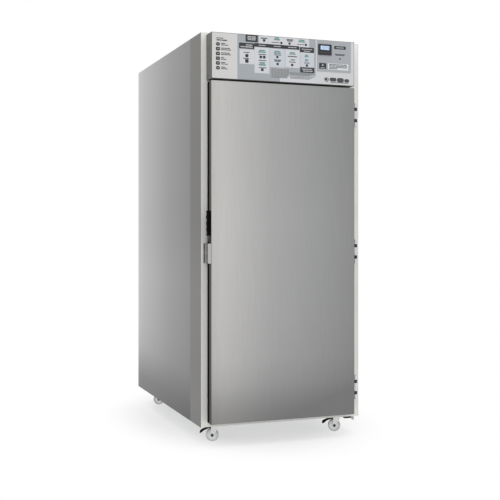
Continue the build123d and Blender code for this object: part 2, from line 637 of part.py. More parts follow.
def make_latch_grip():
    """Ribbed black handle moulded over the top of the lever's shank."""
    bottom, top = BASE_Z + GRIP_BOTTOM, BASE_Z + GRIP_TOP
    rib_count = int((top - bottom) / GRIP_RIB_PITCH) - 1
    with BuildPart() as latch_grip:
        with Locations((GRIP_X, GRIP_Y, (bottom + top) / 2)):
            Box(GRIP_WIDTH, GRIP_DEPTH, top - bottom)
        fillet(latch_grip.edges().filter_by(Axis.Z), radius=GRIP_WIDTH / 4)
        fillet(latch_grip.faces().sort_by(Axis.Z)[-1].edges(), radius=3)
        for i in range(rib_count):
            z = bottom + GRIP_RIB_PITCH * (i + 1.5)
            block(GRIP_X - GRIP_WIDTH / 2, GRIP_X - GRIP_WIDTH / 2 + GRIP_RIB_DEPTH,
                  GRIP_Y - GRIP_DEPTH / 2, GRIP_Y + GRIP_DEPTH / 2,
                  z - GRIP_RIB_PITCH / 4, z, Mode.SUBTRACT)
            block(GRIP_X - GRIP_WIDTH / 2, GRIP_X + GRIP_WIDTH / 2,
                  GRIP_Y - GRIP_DEPTH / 2, GRIP_Y - GRIP_DEPTH / 2 + GRIP_RIB_DEPTH,
                  z - GRIP_RIB_PITCH / 4, z, Mode.SUBTRACT)
        block(LATCH_X - LATCH_LEVER_THICKNESS / 2, LATCH_X + LATCH_LEVER_THICKNESS / 2,
              GRIP_Y - LATCH_SHANK_WIDTH / 2, GRIP_Y + LATCH_SHANK_WIDTH / 2,
              bottom, top - LATCH_SHANK_WIDTH, Mode.SUBTRACT)
    save(latch_grip.part, "latch_grip")


def make_latch_keeper():
    """Plate screwed to the stile, with the block that the nose drops behind."""
    plate_bottom, plate_top = BASE_Z + LATCH_HOUSING_BOTTOM, BASE_Z + LATCH_HOUSING_TOP
    right = LATCH_X + KEEPER_BLOCK_WIDTH / 2
    face_y = FRAME_Y - HINGE_LEAF
    with BuildPart() as plate:
        block(right - KEEPER_PLATE_WIDTH, right, face_y, FRAME_Y, plate_bottom, plate_top)
        for z in (plate_bottom + KEEPER_SCREW_INSET, plate_top - KEEPER_SCREW_INSET):
            with Locations(Plane(origin=(LATCH_X - 1, face_y, z), z_dir=(0, -1, 0))):
                CounterSinkHole(radius=KEEPER_SCREW_RADIUS, counter_sink_radius=4, depth=HINGE_LEAF)
    with BuildPart() as stop:
        block(right - KEEPER_BLOCK_WIDTH, right, NOSE_Y - 6, face_y,
              KEEPER_TOP_Z - KEEPER_BLOCK_HEIGHT, KEEPER_TOP_Z)
    save_group([plate.part, stop.part], "latch_keeper")


# ---- fascia and controller -------------------------------------------------------
def make_fascia_box():
    """Folded steel cover over the machine compartment, open at the back."""
    body_left = CONTROLLER_CENTRE_X - CONTROLLER_BODY_WIDTH / 2 - HOLE_CLEARANCE
    body_right = CONTROLLER_CENTRE_X + CONTROLLER_BODY_WIDTH / 2 + HOLE_CLEARANCE
    depth = FRAME_Y - FASCIA_SHEET_Y
    with BuildPart() as fascia_box:
        with Locations((FASCIA_X, FRAME_Y - depth / 2, FASCIA_Z)):
            Box(FASCIA_RIGHT - FASCIA_LEFT, depth, FASCIA_TOP - FASCIA_BOTTOM)
        offset(amount=-CLADDING, openings=fascia_box.faces().sort_by(Axis.Y)[-1])
        block(body_left, body_right, FASCIA_SHEET_Y, FASCIA_SHEET_Y + CLADDING,
              CONTROLLER_Z - CONTROLLER_BODY_HEIGHT / 2 - HOLE_CLEARANCE,
              CONTROLLER_Z + CONTROLLER_BODY_HEIGHT / 2 + HOLE_CLEARANCE, Mode.SUBTRACT)
    save(fascia_box.part, "fascia_box")


def make_fascia_overlay():
    """Printed plastic film glued on the front of the fascia."""
    with BuildPart() as fascia_overlay:
        with BuildSketch(Plane.XZ.offset(-FASCIA_SHEET_Y)):
            with Locations((FASCIA_X, FASCIA_Z)):
                RectangleRounded(FASCIA_RIGHT - FASCIA_LEFT - 2 * OVERLAY_MARGIN,
                                 FASCIA_TOP - FASCIA_BOTTOM - 2 * OVERLAY_MARGIN, 4)
            with Locations((CONTROLLER_CENTRE_X, CONTROLLER_Z)):
                Rectangle(CONTROLLER_BODY_WIDTH + 2 * HOLE_CLEARANCE,
                          CONTROLLER_BODY_HEIGHT + 2 * HOLE_CLEARANCE, mode=Mode.SUBTRACT)
        extrude(amount=OVERLAY_THICKNESS)
    save(fascia_overlay.part, "fascia_overlay")


def make_controller_housing():
    """Black controller: bezel on the fascia, hollow body behind it."""
    window_z = CONTROLLER_Z + WINDOW_RISE
    button_z = CONTROLLER_Z - BUTTON_DROP
    bezel_y = CONTROLLER_BEZEL_Y
    body_end_y = FASCIA_FACE_Y + CONTROLLER_BODY_DEPTH
    inner_y = CONTROLLER_INNER_Y
    with BuildPart() as controller_housing:
        with Locations((CONTROLLER_CENTRE_X, (bezel_y + FASCIA_FACE_Y) / 2, CONTROLLER_Z)):
            Box(CONTROLLER_WIDTH, CONTROLLER_PROUD, CONTROLLER_HEIGHT)
        fillet(controller_housing.edges().filter_by(Axis.Y), radius=3)
        chamfer(controller_housing.faces().sort_by(Axis.Y)[0].edges(), length=0.8)
        with Locations((CONTROLLER_CENTRE_X, (FASCIA_FACE_Y + body_end_y) / 2, CONTROLLER_Z)):
            Box(CONTROLLER_BODY_WIDTH, CONTROLLER_BODY_DEPTH, CONTROLLER_BODY_HEIGHT)
        with Locations((CONTROLLER_CENTRE_X, (inner_y + body_end_y - CONTROLLER_WALL) / 2,
                        CONTROLLER_Z)):
            Box(CONTROLLER_BODY_WIDTH - 2 * CONTROLLER_WALL, body_end_y - CONTROLLER_WALL - inner_y,
                CONTROLLER_BODY_HEIGHT - 2 * CONTROLLER_WALL, mode=Mode.SUBTRACT)
        with BuildSketch(Plane.XZ.offset(-bezel_y)):
            with Locations((CONTROLLER_CENTRE_X, window_z)):
                Rectangle(WINDOW_WIDTH, WINDOW_HEIGHT)
        extrude(amount=-WINDOW_THICKNESS, mode=Mode.SUBTRACT)
        with BuildSketch(Plane.XZ.offset(-bezel_y)):
            with Locations((CONTROLLER_CENTRE_X, window_z)):
                Rectangle(WINDOW_WIDTH - 2 * WINDOW_LEDGE, WINDOW_HEIGHT - 2 * WINDOW_LEDGE)
            for x in BUTTON_XS:
                with Locations((x, button_z)):
                    Rectangle(BUTTON_WIDTH, BUTTON_HEIGHT)
        extrude(amount=-CONTROLLER_PROUD, mode=Mode.SUBTRACT)
    save(controller_housing.part, "controller_housing")


def make_controller_window():
    """Clear window over the display."""
    with BuildPart() as controller_window:
        with Locations((CONTROLLER_CENTRE_X, CONTROLLER_BEZEL_Y + WINDOW_THICKNESS / 2,
                        CONTROLLER_Z + WINDOW_RISE)):
            Box(WINDOW_WIDTH, WINDOW_THICKNESS, WINDOW_HEIGHT)
    save(controller_window.part, "controller_window")


def make_controller_buttons():
    """Push buttons with a hidden flange that stops them falling out of the bezel."""
    front_y = CONTROLLER_BEZEL_Y - BUTTON_PROUD
    inner_y = CONTROLLER_INNER_Y
    width = BUTTON_WIDTH - 2 * BUTTON_CLEARANCE
    height = BUTTON_HEIGHT - 2 * BUTTON_CLEARANCE
    for i, x in enumerate(BUTTON_XS):
        with BuildPart() as button:
            with Locations((x, (front_y + inner_y) / 2, CONTROLLER_Z - BUTTON_DROP)):
                Box(width, inner_y - front_y, height)
            fillet(button.edges().filter_by(Axis.Y), radius=1)
            with Locations((x, inner_y + BUTTON_CLEARANCE / 2 + BUTTON_FLANGE / 2,
                            CONTROLLER_Z - BUTTON_DROP)):
                Box(BUTTON_WIDTH + 2, BUTTON_FLANGE + BUTTON_CLEARANCE, BUTTON_HEIGHT + 2)
        save(button.part, f"controller_button_{i + 1}")


# ---- tray rack ---------------------------------------------------------------------
def make_rack_uprights():
    """Four box-section posts on the side walls that carry the tray runners."""
    posts = []
    for side in (-1, 1):
        for y in UPRIGHT_YS:
            with BuildPart() as post:
                with BuildSketch(Plane.XY.offset(FLOOR_Z)):
                    with Locations((side * (OPENING - UPRIGHT_DEPTH / 2), y)):
                        Rectangle(UPRIGHT_DEPTH, UPRIGHT_WIDTH)
                        Rectangle(UPRIGHT_DEPTH - 2 * FRAME_WALL, UPRIGHT_WIDTH - 2 * FRAME_WALL,
                                  mode=Mode.SUBTRACT)
                extrude(amount=CEILING_Z - FLOOR_Z)
            posts.append(post.part)
    save_group(posts, "rack_uprights")


def make_tray_runners():
    """Pairs of angles, one per tray level: a flat ledge with a flange folded down."""
    runners = []
    for side in (-1, 1):
        for level in range(TRAY_LEVELS):
            top = BASE_Z + FIRST_TRAY + level * TRAY_PITCH
            outer = side * RUNNER_X
            with BuildPart() as runner:
                with BuildSketch(Plane.XZ.offset(-RACK_FRONT_Y)):
                    with BuildLine():
                        Polyline(
                            (outer, top),
                            (outer - side * RUNNER_LEDGE, top),
                            (outer - side * RUNNER_LEDGE, top - RUNNER_THICKNESS),
                            (outer - side * RUNNER_THICKNESS, top - RUNNER_THICKNESS),
                            (outer - side * RUNNER_THICKNESS, top - RUNNER_FLANGE),
                            (outer, top - RUNNER_FLANGE),
                            close=True,
                        )
                    make_face()
                extrude(amount=-RUNNER_LENGTH)
            runners.append(runner.part)
    save_group(runners, "tray_runners")


# ---- air duct at the back of the chamber ---------------------------------------------
FAN_PLACES = {"left": -FAN_SPACING / 2, "right": FAN_SPACING / 2}
FAN_Z = CEILING_Z - FAN_FROM_CEILING
FAN_HUB_Y = DUCT_Y + DUCT_PANEL + 2
FAN_MOTOR_Y = FAN_HUB_Y + FAN_HUB_LENGTH + 10
FAN_SHAFT_DEPTH = 15
FAN_RING_WIDTH = 12
FAN_SPOKE_THICKNESS = 3
EVAPORATOR_HALF = OPENING - 90
EVAPORATOR_TOP_Z = CEILING_Z - 30
EVAPORATOR_HEIGHT = 350
EVAPORATOR_DEPTH = DUCT_DEPTH / 2 - 10
EVAPORATOR_SETBACK = 20
COIL_PLATE = 2
COIL_TUBE_RADIUS = 6
COIL_TUBE_PITCH = 44
HEATER_DROP = 60
HEATER_HEIGHT = 70
HEATER_BEND = 30
HEATER_PLATE_LAP = 20
WATER_PAN_HALF = 200
WATER_PAN_DEPTH = 150
WATER_PAN_HEIGHT = 60
WATER_PAN_LEGS = 28
WATER_PAN_SETBACK = 25


def make_air_duct_panel():
    """Sheet in front of the duct: two fan holes, rows of air slots, a gap at the floor."""
    with BuildPart() as air_duct_panel:
        block(-OPENING, OPENING, DUCT_Y, DUCT_Y + DUCT_PANEL, FLOOR_Z + DUCT_RETURN_GAP,
              CEILING_Z)
        with BuildSketch(Plane.XZ.offset(-DUCT_Y)):
            for x in FAN_PLACES.values():
                with Locations((x, FAN_Z)):
                    Circle(FAN_HOLE_RADIUS)
            with Locations((0, FLOOR_Z + DUCT_RETURN_GAP + 250)):
                with GridLocations(90, 28, DUCT_SLOT_COLUMNS, DUCT_SLOT_ROWS):
                    SlotOverall(70, 10)
        extrude(amount=-DUCT_PANEL, mode=Mode.SUBTRACT)
    save(air_duct_panel.part, "air_duct_panel")


def make_circulation_fan_motors():
    """Two motors, each held behind its hole by a ring with three stand-offs and spokes."""
    motors = []
    stand_off = FAN_HOLE_RADIUS + FAN_RING_WIDTH / 2
    for x in FAN_PLACES.values():
        ring_y = DUCT_Y + DUCT_PANEL
        spoke_y = FAN_MOTOR_Y + 4
        centre = Plane(origin=(x, ring_y, FAN_Z), x_dir=(1, 0, 0), z_dir=(0, 1, 0))
        with BuildPart() as motor:
            with BuildSketch(centre):
                Circle(FAN_HOLE_RADIUS + FAN_RING_WIDTH)
                Circle(FAN_HOLE_RADIUS, mode=Mode.SUBTRACT)
            extrude(amount=2)
            with BuildSketch(centre):
                with PolarLocations(stand_off, 3):
                    Circle(4)
            extrude(amount=spoke_y - ring_y)
            with BuildSketch(centre.offset(spoke_y - ring_y)):
                with PolarLocations(stand_off / 2, 3):
                    Rectangle(stand_off, FAN_RING_WIDTH)
            extrude(amount=FAN_SPOKE_THICKNESS)
            rod(x, FAN_MOTOR_Y, FAN_Z, FAN_MOTOR_RADIUS, FAN_MOTOR_LENGTH, (0, 1, 0))
            rod(x, FAN_MOTOR_Y, FAN_Z, FAN_SHAFT_RADIUS + PIN_CLEARANCE, FAN_SHAFT_DEPTH + 1,
                (0, 1, 0), Mode.SUBTRACT)
        motors.append(motor.part)
    save_group(motors, "circulation_fan_motors")


def fan_wheel(x, hub_y, z, radius, motor_y):
    """Hub with tilted blades and the shaft that runs back into the motor."""
    blade_inner = FAN_HUB_RADIUS - 3
    blade_length = radius - blade_inner
    middle = Plane(origin=(x, hub_y + FAN_HUB_LENGTH / 2, z), x_dir=(1, 0, 0), z_dir=(0, 1, 0))
    with BuildPart() as wheel:
        rod(x, hub_y, z, FAN_HUB_RADIUS, FAN_HUB_LENGTH, (0, 1, 0))
        with Locations(middle):
            with PolarLocations(blade_inner + blade_length / 2, FAN_BLADES):
                Box(blade_length, 40, 2, rotation=(24, 0, 0))
        rod(x, hub_y + FAN_HUB_LENGTH, z, FAN_SHAFT_RADIUS,
            motor_y + FAN_SHAFT_DEPTH - hub_y - FAN_HUB_LENGTH, (0, 1, 0))
    return wheel.part


def make_circulation_fan_blades():
    """Left and right fan wheels, which turn in the holes of the duct panel."""
    for name, x in FAN_PLACES.items():
        wheel = fan_wheel(x, FAN_HUB_Y, FAN_Z, FAN_BLADE_RADIUS, FAN_MOTOR_Y)
        save(wheel, f"circulation_fan_blades_{name}")


def coil(x0, x1, y0, y1, z0, z1):
    """Finned block between two end plates, with return bends on the right-hand end."""
    rows = int((z1 - z0 - COIL_TUBE_PITCH) / COIL_TUBE_PITCH)
    y_middle = (y0 + y1) / 2
    with BuildPart() as finned:
        block(x0 + COIL_PLATE, x1 - COIL_PLATE, y0 + 4, y1 - 4, z0 + 4, z1 - 4)
        block(x0, x0 + COIL_PLATE, y0, y1, z0, z1)
        block(x1 - COIL_PLATE, x1, y0, y1, z0, z1)
        for row in range(rows):
            z = z0 + COIL_TUBE_PITCH * (row + 1)
            with BuildSketch(Plane(origin=(x1, y_middle - COIL_TUBE_PITCH / 4, z),
                                   x_dir=(0, 1, 0), z_dir=(1, 0, 0))):
                Circle(COIL_TUBE_RADIUS)
            revolve(axis=Axis((x1, y_middle, z), (0, 0, 1)), revolution_arc=180)
    return finned.part


def make_evaporator_coil():
    """Cooling coil in the duct behind the fans."""
    back = CHAMBER_BACK_Y - EVAPORATOR_SETBACK
    part = coil(-EVAPORATOR_HALF, EVAPORATOR_HALF, back - EVAPORATOR_DEPTH, back,
                EVAPORATOR_TOP_Z - EVAPORATOR_HEIGHT, EVAPORATOR_TOP_Z)
    save(part, "evaporator_coil")


def make_heater_element():
    """Bent tubular heater below the coil, held in a plate at one end."""
    y = DUCT_Y + DUCT_DEPTH / 2
    high = EVAPORATOR_TOP_Z - EVAPORATOR_HEIGHT - HEATER_DROP
    low = high - HEATER_HEIGHT
    left, right = -OPENING + 90, OPENING - 130
    with BuildPart() as heater_element:
        with BuildLine() as route:
            FilletPolyline((left, y, low), (right, y, low), (right, y, high), (left, y, high),
                           radius=HEATER_BEND)
        with BuildSketch(Plane(origin=route.wire() @ 0, z_dir=route.wire() % 0)):
            Circle(COIL_TUBE_RADIUS)
        sweep()
        block(-OPENING, left + 4, y - 15, y + 15, low - HEATER_PLATE_LAP,
              low - HEATER_PLATE_LAP + 2)
        block(left, left + 4, y - 15, y + 15, low - HEATER_PLATE_LAP, high + HEATER_PLATE_LAP)
    save(heater_element.part, "heater_element")


def make_humidifier_pan():
    """Open stainless water pan on four feet at the bottom of the duct."""
    y0 = DUCT_Y + WATER_PAN_SETBACK
    y1 = y0 + WATER_PAN_DEPTH
    bottom = FLOOR_Z + WATER_PAN_LEGS
    with BuildPart() as humidifier_pan:
        block(-WATER_PAN_HALF, WATER_PAN_HALF, y0, y1, bottom, bottom + WATER_PAN_HEIGHT)
        offset(amount=-CLADDING, openings=humidifier_pan.faces().sort_by(Axis.Z)[-1])
        with BuildSketch(Plane.XY.offset(FLOOR_Z)):
            with Locations((0, (y0 + y1) / 2)):
                with GridLocations(2 * WATER_PAN_HALF - 40, WATER_PAN_DEPTH - 40, 2, 2):
                    Circle(7)
        extrude(amount=WATER_PAN_LEGS)
    save(humidifier_pan.part, "humidifier_pan")


# ---- refrigeration unit on the machine deck ---------------------------------------------
CONDENSER_FRONT_Y = PIPE_PORT_Y - CONDENSER_DEPTH / 2
CONDENSER_BACK_Y = CONDENSER_FRONT_Y + CONDENSER_DEPTH
CONDENSER_FAN_Z = MACHINE_Z + CONDENSER_HEIGHT / 2 + 6
CONDENSER_HUB_Y = CONDENSER_BACK_Y + 12
CONDENSER_MOTOR_Y = CONDENSER_HUB_Y + FAN_HUB_LENGTH + 6
COMPRESSOR_X = -150
COMPRESSOR_Y = REAR_Y - 430
COMPRESSOR_FOOT = 12
COMPRESSOR_FOOT_HALF_WIDTH = 95
COMPRESSOR_FOOT_HALF_DEPTH = 60
COMPRESSOR_DOME = 28
DISCHARGE_HEIGHT = 100
LIQUID_HEIGHT = 40
SUCTION_HEIGHT = 70
PIPE_BEND = 15
ELECTRICAL_BOX_LEFT = 150
ELECTRICAL_BOX_WIDTH = 150
ELECTRICAL_BOX_DEPTH = 200
ELECTRICAL_BOX_HEIGHT = 110
ELECTRICAL_BOX_SETBACK = 80


def make_compressor():
    """Welded compressor shell with domed ends on a steel foot plate."""
    with BuildPart() as compressor:
        rod(COMPRESSOR_X, COMPRESSOR_Y, MACHINE_Z + 8, COMPRESSOR_RADIUS, COMPRESSOR_HEIGHT - 8,
            (0, 0, 1))
        fillet(compressor.edges().filter_by(GeomType.CIRCLE), radius=COMPRESSOR_DOME)
        block(COMPRESSOR_X - COMPRESSOR_FOOT_HALF_WIDTH, COMPRESSOR_X + COMPRESSOR_FOOT_HALF_WIDTH,
              COMPRESSOR_Y - COMPRESSOR_FOOT_HALF_DEPTH, COMPRESSOR_Y + COMPRESSOR_FOOT_HALF_DEPTH,
              MACHINE_Z, MACHINE_Z + COMPRESSOR_FOOT)
    save(compressor.part, "compressor")


def make_condenser_coil():
    """Finned coil that gives off the heat through the slots in the back."""
    part = coil(-CONDENSER_WIDTH / 2, CONDENSER_WIDTH / 2, CONDENSER_FRONT_Y, CONDENSER_BACK_Y,
                MACHINE_Z, MACHINE_Z + CONDENSER_HEIGHT)
    save(part, "condenser_coil")


def make_condenser_fan():
    """Motor on a bent bracket, and its fan wheel between motor and coil."""
    length = FAN_MOTOR_LENGTH
    with BuildPart() as motor:
        rod(0, CONDENSER_MOTOR_Y, CONDENSER_FAN_Z, FAN_MOTOR_RADIUS, length, (0, 1, 0))
        block(-20, 20, CONDENSER_MOTOR_Y + length - 3, CONDENSER_MOTOR_Y + length,
              MACHINE_Z, CONDENSER_FAN_Z)
        block(-40, 40, CONDENSER_MOTOR_Y + 10, CONDENSER_MOTOR_Y + length, MACHINE_Z, MACHINE_Z + 3)
        rod(0, CONDENSER_MOTOR_Y, CONDENSER_FAN_Z, FAN_SHAFT_RADIUS + PIN_CLEARANCE,
            FAN_SHAFT_DEPTH + 1, (0, 1, 0), Mode.SUBTRACT)
    save(motor.part, "condenser_fan_motor")
    wheel = fan_wheel(0, CONDENSER_HUB_Y, CONDENSER_FAN_Z, CONDENSER_FAN_RADIUS, CONDENSER_MOTOR_Y)
    save(wheel, "condenser_fan_blades")


def pipe(points):
    """Round copper pipe along straight runs joined by bends."""
    with BuildPart() as run:
        with BuildLine() as route:
            FilletPolyline(*points, radius=PIPE_BEND)
        with BuildSketch(Plane(origin=route.wire() @ 0, z_dir=route.wire() % 0)):
            Circle(PIPE_RADIUS)
        sweep()
    return run.part


def make_refrigerant_pipes():
    """Discharge, liquid and suction pipes between compressor, condenser and coil."""
    condenser_x = -CONDENSER_WIDTH / 2
    liquid_x = PIPE_PORT_X + 2 * PIPE_RADIUS
    suction_x = PIPE_PORT_X - 2 * PIPE_RADIUS
    hot_x = condenser_x - 30
    shell_x = COMPRESSOR_X - COMPRESSOR_RADIUS
    shell_y = COMPRESSOR_Y + COMPRESSOR_RADIUS
    bend_y = shell_y + 60
    coil_low = EVAPORATOR_TOP_Z - 300
    coil_high = EVAPORATOR_TOP_Z - 40
    hot_z = MACHINE_Z + DISCHARGE_HEIGHT
    liquid_z = MACHINE_Z + LIQUID_HEIGHT
    suction_z = MACHINE_Z + SUCTION_HEIGHT
    pipes = [
        pipe([(COMPRESSOR_X, shell_y, hot_z), (COMPRESSOR_X, bend_y, hot_z),
              (hot_x, bend_y, hot_z), (hot_x, PIPE_PORT_Y, hot_z),
              (condenser_x, PIPE_PORT_Y, hot_z)]),
        pipe([(condenser_x, PIPE_PORT_Y, liquid_z), (liquid_x, PIPE_PORT_Y, liquid_z),
              (liquid_x, PIPE_PORT_Y, coil_low), (-EVAPORATOR_HALF, PIPE_PORT_Y, coil_low)]),
        pipe([(-EVAPORATOR_HALF, PIPE_PORT_Y, coil_high), (suction_x, PIPE_PORT_Y, coil_high),
              (suction_x, PIPE_PORT_Y, suction_z), (suction_x, COMPRESSOR_Y, suction_z),
              (shell_x, COMPRESSOR_Y, suction_z)]),
    ]
    save_group(pipes, "refrigerant_pipes")


def make_electrical_box():
    """Sheet-metal enclosure for relays and terminals, behind the controller."""
    with BuildPart() as electrical_box:
        block(ELECTRICAL_BOX_LEFT, ELECTRICAL_BOX_LEFT + ELECTRICAL_BOX_WIDTH,
              FRAME_Y + ELECTRICAL_BOX_SETBACK,
              FRAME_Y + ELECTRICAL_BOX_SETBACK + ELECTRICAL_BOX_DEPTH,
              MACHINE_Z, MACHINE_Z + ELECTRICAL_BOX_HEIGHT)
        offset(amount=-CLADDING, openings=electrical_box.faces().sort_by(Axis.Z)[0])
    save(electrical_box.part, "electrical_box")


# ---- casters: made with the kingpin on the Z axis and the floor at zero ------------------
FORK_INNER = WHEEL_HUB_WIDTH / 2 + 1
BOLT_HEAD = 5
BOLT_HEAD_RADIUS = 7.5
PEDAL_PIVOT = (-CASTER_TRAIL + 1, 2 * WHEEL_RADIUS + 7)
PEDAL_PIN_RADIUS = 2.5
PEDAL_WIDTH = 22
PEDAL_PAD_WIDTH = 34


def make_caster_plates():
    """Mounting plates with the upper ball race, each with its headed kingpin."""
    with BuildPart() as plate:
        with BuildSketch(Plane.XY.offset(PLATE_BOTTOM)):
            RectangleRounded(CASTER_PLATE_LENGTH, CASTER_PLATE_WIDTH, 8)
            with GridLocations(CASTER_BOLT_LENGTH_SPACING, CASTER_BOLT_WIDTH_SPACING, 2, 2):
                Circle(CASTER_BOLT_RADIUS + HOLE_CLEARANCE, mode=Mode.SUBTRACT)
        extrude(amount=CASTER_PLATE)
        rod(0, 0, PLATE_BOTTOM, CASTER_RACE_RADIUS, CASTER_RACE, (0, 0, -1))
    with BuildPart() as kingpin:
        rod(0, 0, RACE_BOTTOM, KINGPIN_RADIUS, FORK_HEAD + 2 * SWIVEL_GAP, (0, 0, -1))
        rod(0, 0, FORK_HEAD_BOTTOM - SWIVEL_GAP, KINGPIN_RADIUS + 3, KINGPIN_HEAD, (0, 0, -1))
    placed = []
    for x, y in CASTER_PLACES.values():
        placed.append(Pos(x, y, 0) * plate.part)
        placed.append(Pos(x, y, 0) * kingpin.part)
    save_group(placed, "caster_plates")


def make_caster_bolts():
    """Hexagon-headed bolts that hold each caster plate to the base."""
    with BuildPart() as bolts:
        with BuildSketch(Plane.XY.offset(PLATE_BOTTOM)):
            with GridLocations(CASTER_BOLT_LENGTH_SPACING, CASTER_BOLT_WIDTH_SPACING, 2, 2):
                RegularPolygon(radius=BOLT_HEAD_RADIUS, side_count=6)
        extrude(amount=-BOLT_HEAD)
        with BuildSketch(Plane.XY.offset(PLATE_BOTTOM)):
            with GridLocations(CASTER_BOLT_LENGTH_SPACING, CASTER_BOLT_WIDTH_SPACING, 2, 2):
                Circle(CASTER_BOLT_RADIUS)
        extrude(amount=CASTER_PLATE + BASE_PLATE)
    placed = []
    for x, y in CASTER_PLACES.values():
        placed.extend(Pos(x, y, 0) * bolt for bolt in bolts.part.solids())
    save(Compound(children=placed), "caster_bolts")


def caster_fork(with_pedal):
    """Pressed fork: swivel head, two legs and the riveted axle."""
    with BuildPart() as fork:
        rod(0, 0, FORK_HEAD_BOTTOM, FORK_HEAD_RADIUS, FORK_HEAD, (0, 0, 1))
        for side in (-1, 1):
            outer = side * (FORK_INNER + FORK_THICKNESS)
            leg_start = min(side * FORK_INNER, outer)
            with BuildSketch(Plane.XZ.offset(-leg_start)):
                with Locations((-CASTER_TRAIL, WHEEL_RADIUS)):
                    Circle(2.2 * AXLE_RADIUS)
                with Locations((-1, FORK_TOP - 3)):
                    Rectangle(36, 6)
                make_hull()
            extrude(amount=-FORK_THICKNESS)
        half = FORK_INNER + FORK_THICKNESS
        rod(-CASTER_TRAIL, -half - 3, WHEEL_RADIUS, AXLE_RADIUS, 2 * half + 6, (0, 1, 0))
        rod(-CASTER_TRAIL, -half - 3, WHEEL_RADIUS, AXLE_RADIUS + 2.5, 3, (0, 1, 0))
        rod(-CASTER_TRAIL, half, WHEEL_RADIUS, AXLE_RADIUS + 2.5, 3, (0, 1, 0))
        if with_pedal:
            rod(PEDAL_PIVOT[0], -half, PEDAL_PIVOT[1], PEDAL_PIN_RADIUS, 2 * half, (0, 1, 0))
        rod(0, 0, FORK_HEAD_BOTTOM, KINGPIN_RADIUS + PIN_CLEARANCE, FORK_HEAD, (0, 0, 1),
            Mode.SUBTRACT)
    return fork.part


def caster_wheel():
    """Wheel with a rounded tread, raised hub and a bore for the axle."""
    with BuildPart() as wheel:
        rod(-CASTER_TRAIL, -WHEEL_WIDTH / 2, WHEEL_RADIUS, WHEEL_RADIUS, WHEEL_WIDTH, (0, 1, 0))
        fillet(wheel.edges().filter_by(GeomType.CIRCLE), radius=3)
        rod(-CASTER_TRAIL, -WHEEL_HUB_WIDTH / 2, WHEEL_RADIUS, 10, WHEEL_HUB_WIDTH, (0, 1, 0))
        rod(-CASTER_TRAIL, -WHEEL_HUB_WIDTH / 2, WHEEL_RADIUS, AXLE_RADIUS + PIN_CLEARANCE,
            WHEEL_HUB_WIDTH, (0, 1, 0), Mode.SUBTRACT)
    return wheel.part


def brake_pedal():
    """Black foot pedal that pivots between the fork legs, with a wider pad at its end."""
    pivot_x, pivot_z = PEDAL_PIVOT
    lever = [(0, 2), (-20, 0), (-44, -9), (-60, -20), (-61, -27), (-54, -25), (-40, -15),
             (-18, -6), (0, -3)]
    pad = [(-47, -11), (-60, -20), (-61, -27), (-54, -25), (-46, -19)]
    with BuildPart() as pedal:
        with BuildSketch(Plane.XZ.offset(-PEDAL_WIDTH / 2)):
            with Locations((pivot_x, pivot_z)):
                Circle(PEDAL_PIN_RADIUS + 2)
            with BuildLine():
                Polyline(*[(pivot_x + x, pivot_z + z) for x, z in lever], close=True)
            make_face()
            with Locations((pivot_x, pivot_z)):
                Circle(PEDAL_PIN_RADIUS + PIN_CLEARANCE, mode=Mode.SUBTRACT)
        extrude(amount=PEDAL_WIDTH)
        with BuildSketch(Plane.XZ.offset(-PEDAL_PAD_WIDTH / 2)):
            with BuildLine():
                Polyline(*[(pivot_x + x, pivot_z + z) for x, z in pad], close=True)
            make_face()
        extrude(amount=PEDAL_PAD_WIDTH)
    return pedal.part


def make_casters():
    """Places a fork and a wheel under each corner, and a pedal on the front two."""
    for name, (x, y) in CASTER_PLACES.items():
        place = Pos(x, y, 0) * Rot(0, 0, CASTER_REST_ANGLE)
        with_pedal = name.startswith("front")
        save(place * caster_fork(with_pedal), f"caster_fork_{name}")
        save(place * caster_wheel(), f"caster_wheel_{name}")
        if with_pedal:
            save(place * brake_pedal(), f"brake_pedal_{name}")


# ---- small fittings -----------------------------------------------------------------------
BUFFER_FROM_SIDE = 72
BUFFER_WIDTH = 34
BUFFER_DEPTH = 28
BUFFER_HEIGHT = 9
BUFFER_BRACKET_WIDTH = 16
BUFFER_BRACKET_HEIGHT = 20


def make_drain_spigot():
    """Tube from the chamber through the back wall, with a flange on each side."""
    z = BASE_Z + SPIGOT_HEIGHT
    length = REAR_Y + SPIGOT_REACH - CHAMBER_BACK_Y
    with BuildPart() as drain_spigot:
        rod(0, CHAMBER_BACK_Y, z, SPIGOT_RADIUS, length, (0, 1, 0))
        rod(0, CHAMBER_BACK_Y, z, SPIGOT_RADIUS + 5, 3, (0, -1, 0))
        rod(0, REAR_Y, z, SPIGOT_RADIUS + 7, 3, (0, 1, 0))
        rod(0, CHAMBER_BACK_Y - 3, z, SPIGOT_BORE, length + 3, (0, 1, 0), Mode.SUBTRACT)
    save(drain_spigot.part, "drain_spigot")


def make_cable_gland():
    """Plastic gland for the supply cable, clamped in the back sheet by a nut."""
    x, z = GLAND_X, BASE_Z + GLAND_HEIGHT
    inside = 8
    start_y = REAR_Y - CLADDING - inside
    length = CLADDING + inside + GLAND_REACH
    with BuildPart() as cable_gland:
        rod(x, start_y, z, GLAND_RADIUS, length, (0, 1, 0))
        with BuildSketch(Plane(origin=(x, REAR_Y, z), z_dir=(0, 1, 0))):
            RegularPolygon(radius=GLAND_RADIUS + 5, side_count=6)
        extrude(amount=7)
        with BuildSketch(Plane(origin=(x, REAR_Y - CLADDING, z), z_dir=(0, -1, 0))):
            RegularPolygon(radius=GLAND_RADIUS + 5, side_count=6)
        extrude(amount=5)
        rod(x, start_y, z, GLAND_BORE, length, (0, 1, 0), Mode.SUBTRACT)
    save(cable_gland.part, "cable_gland")


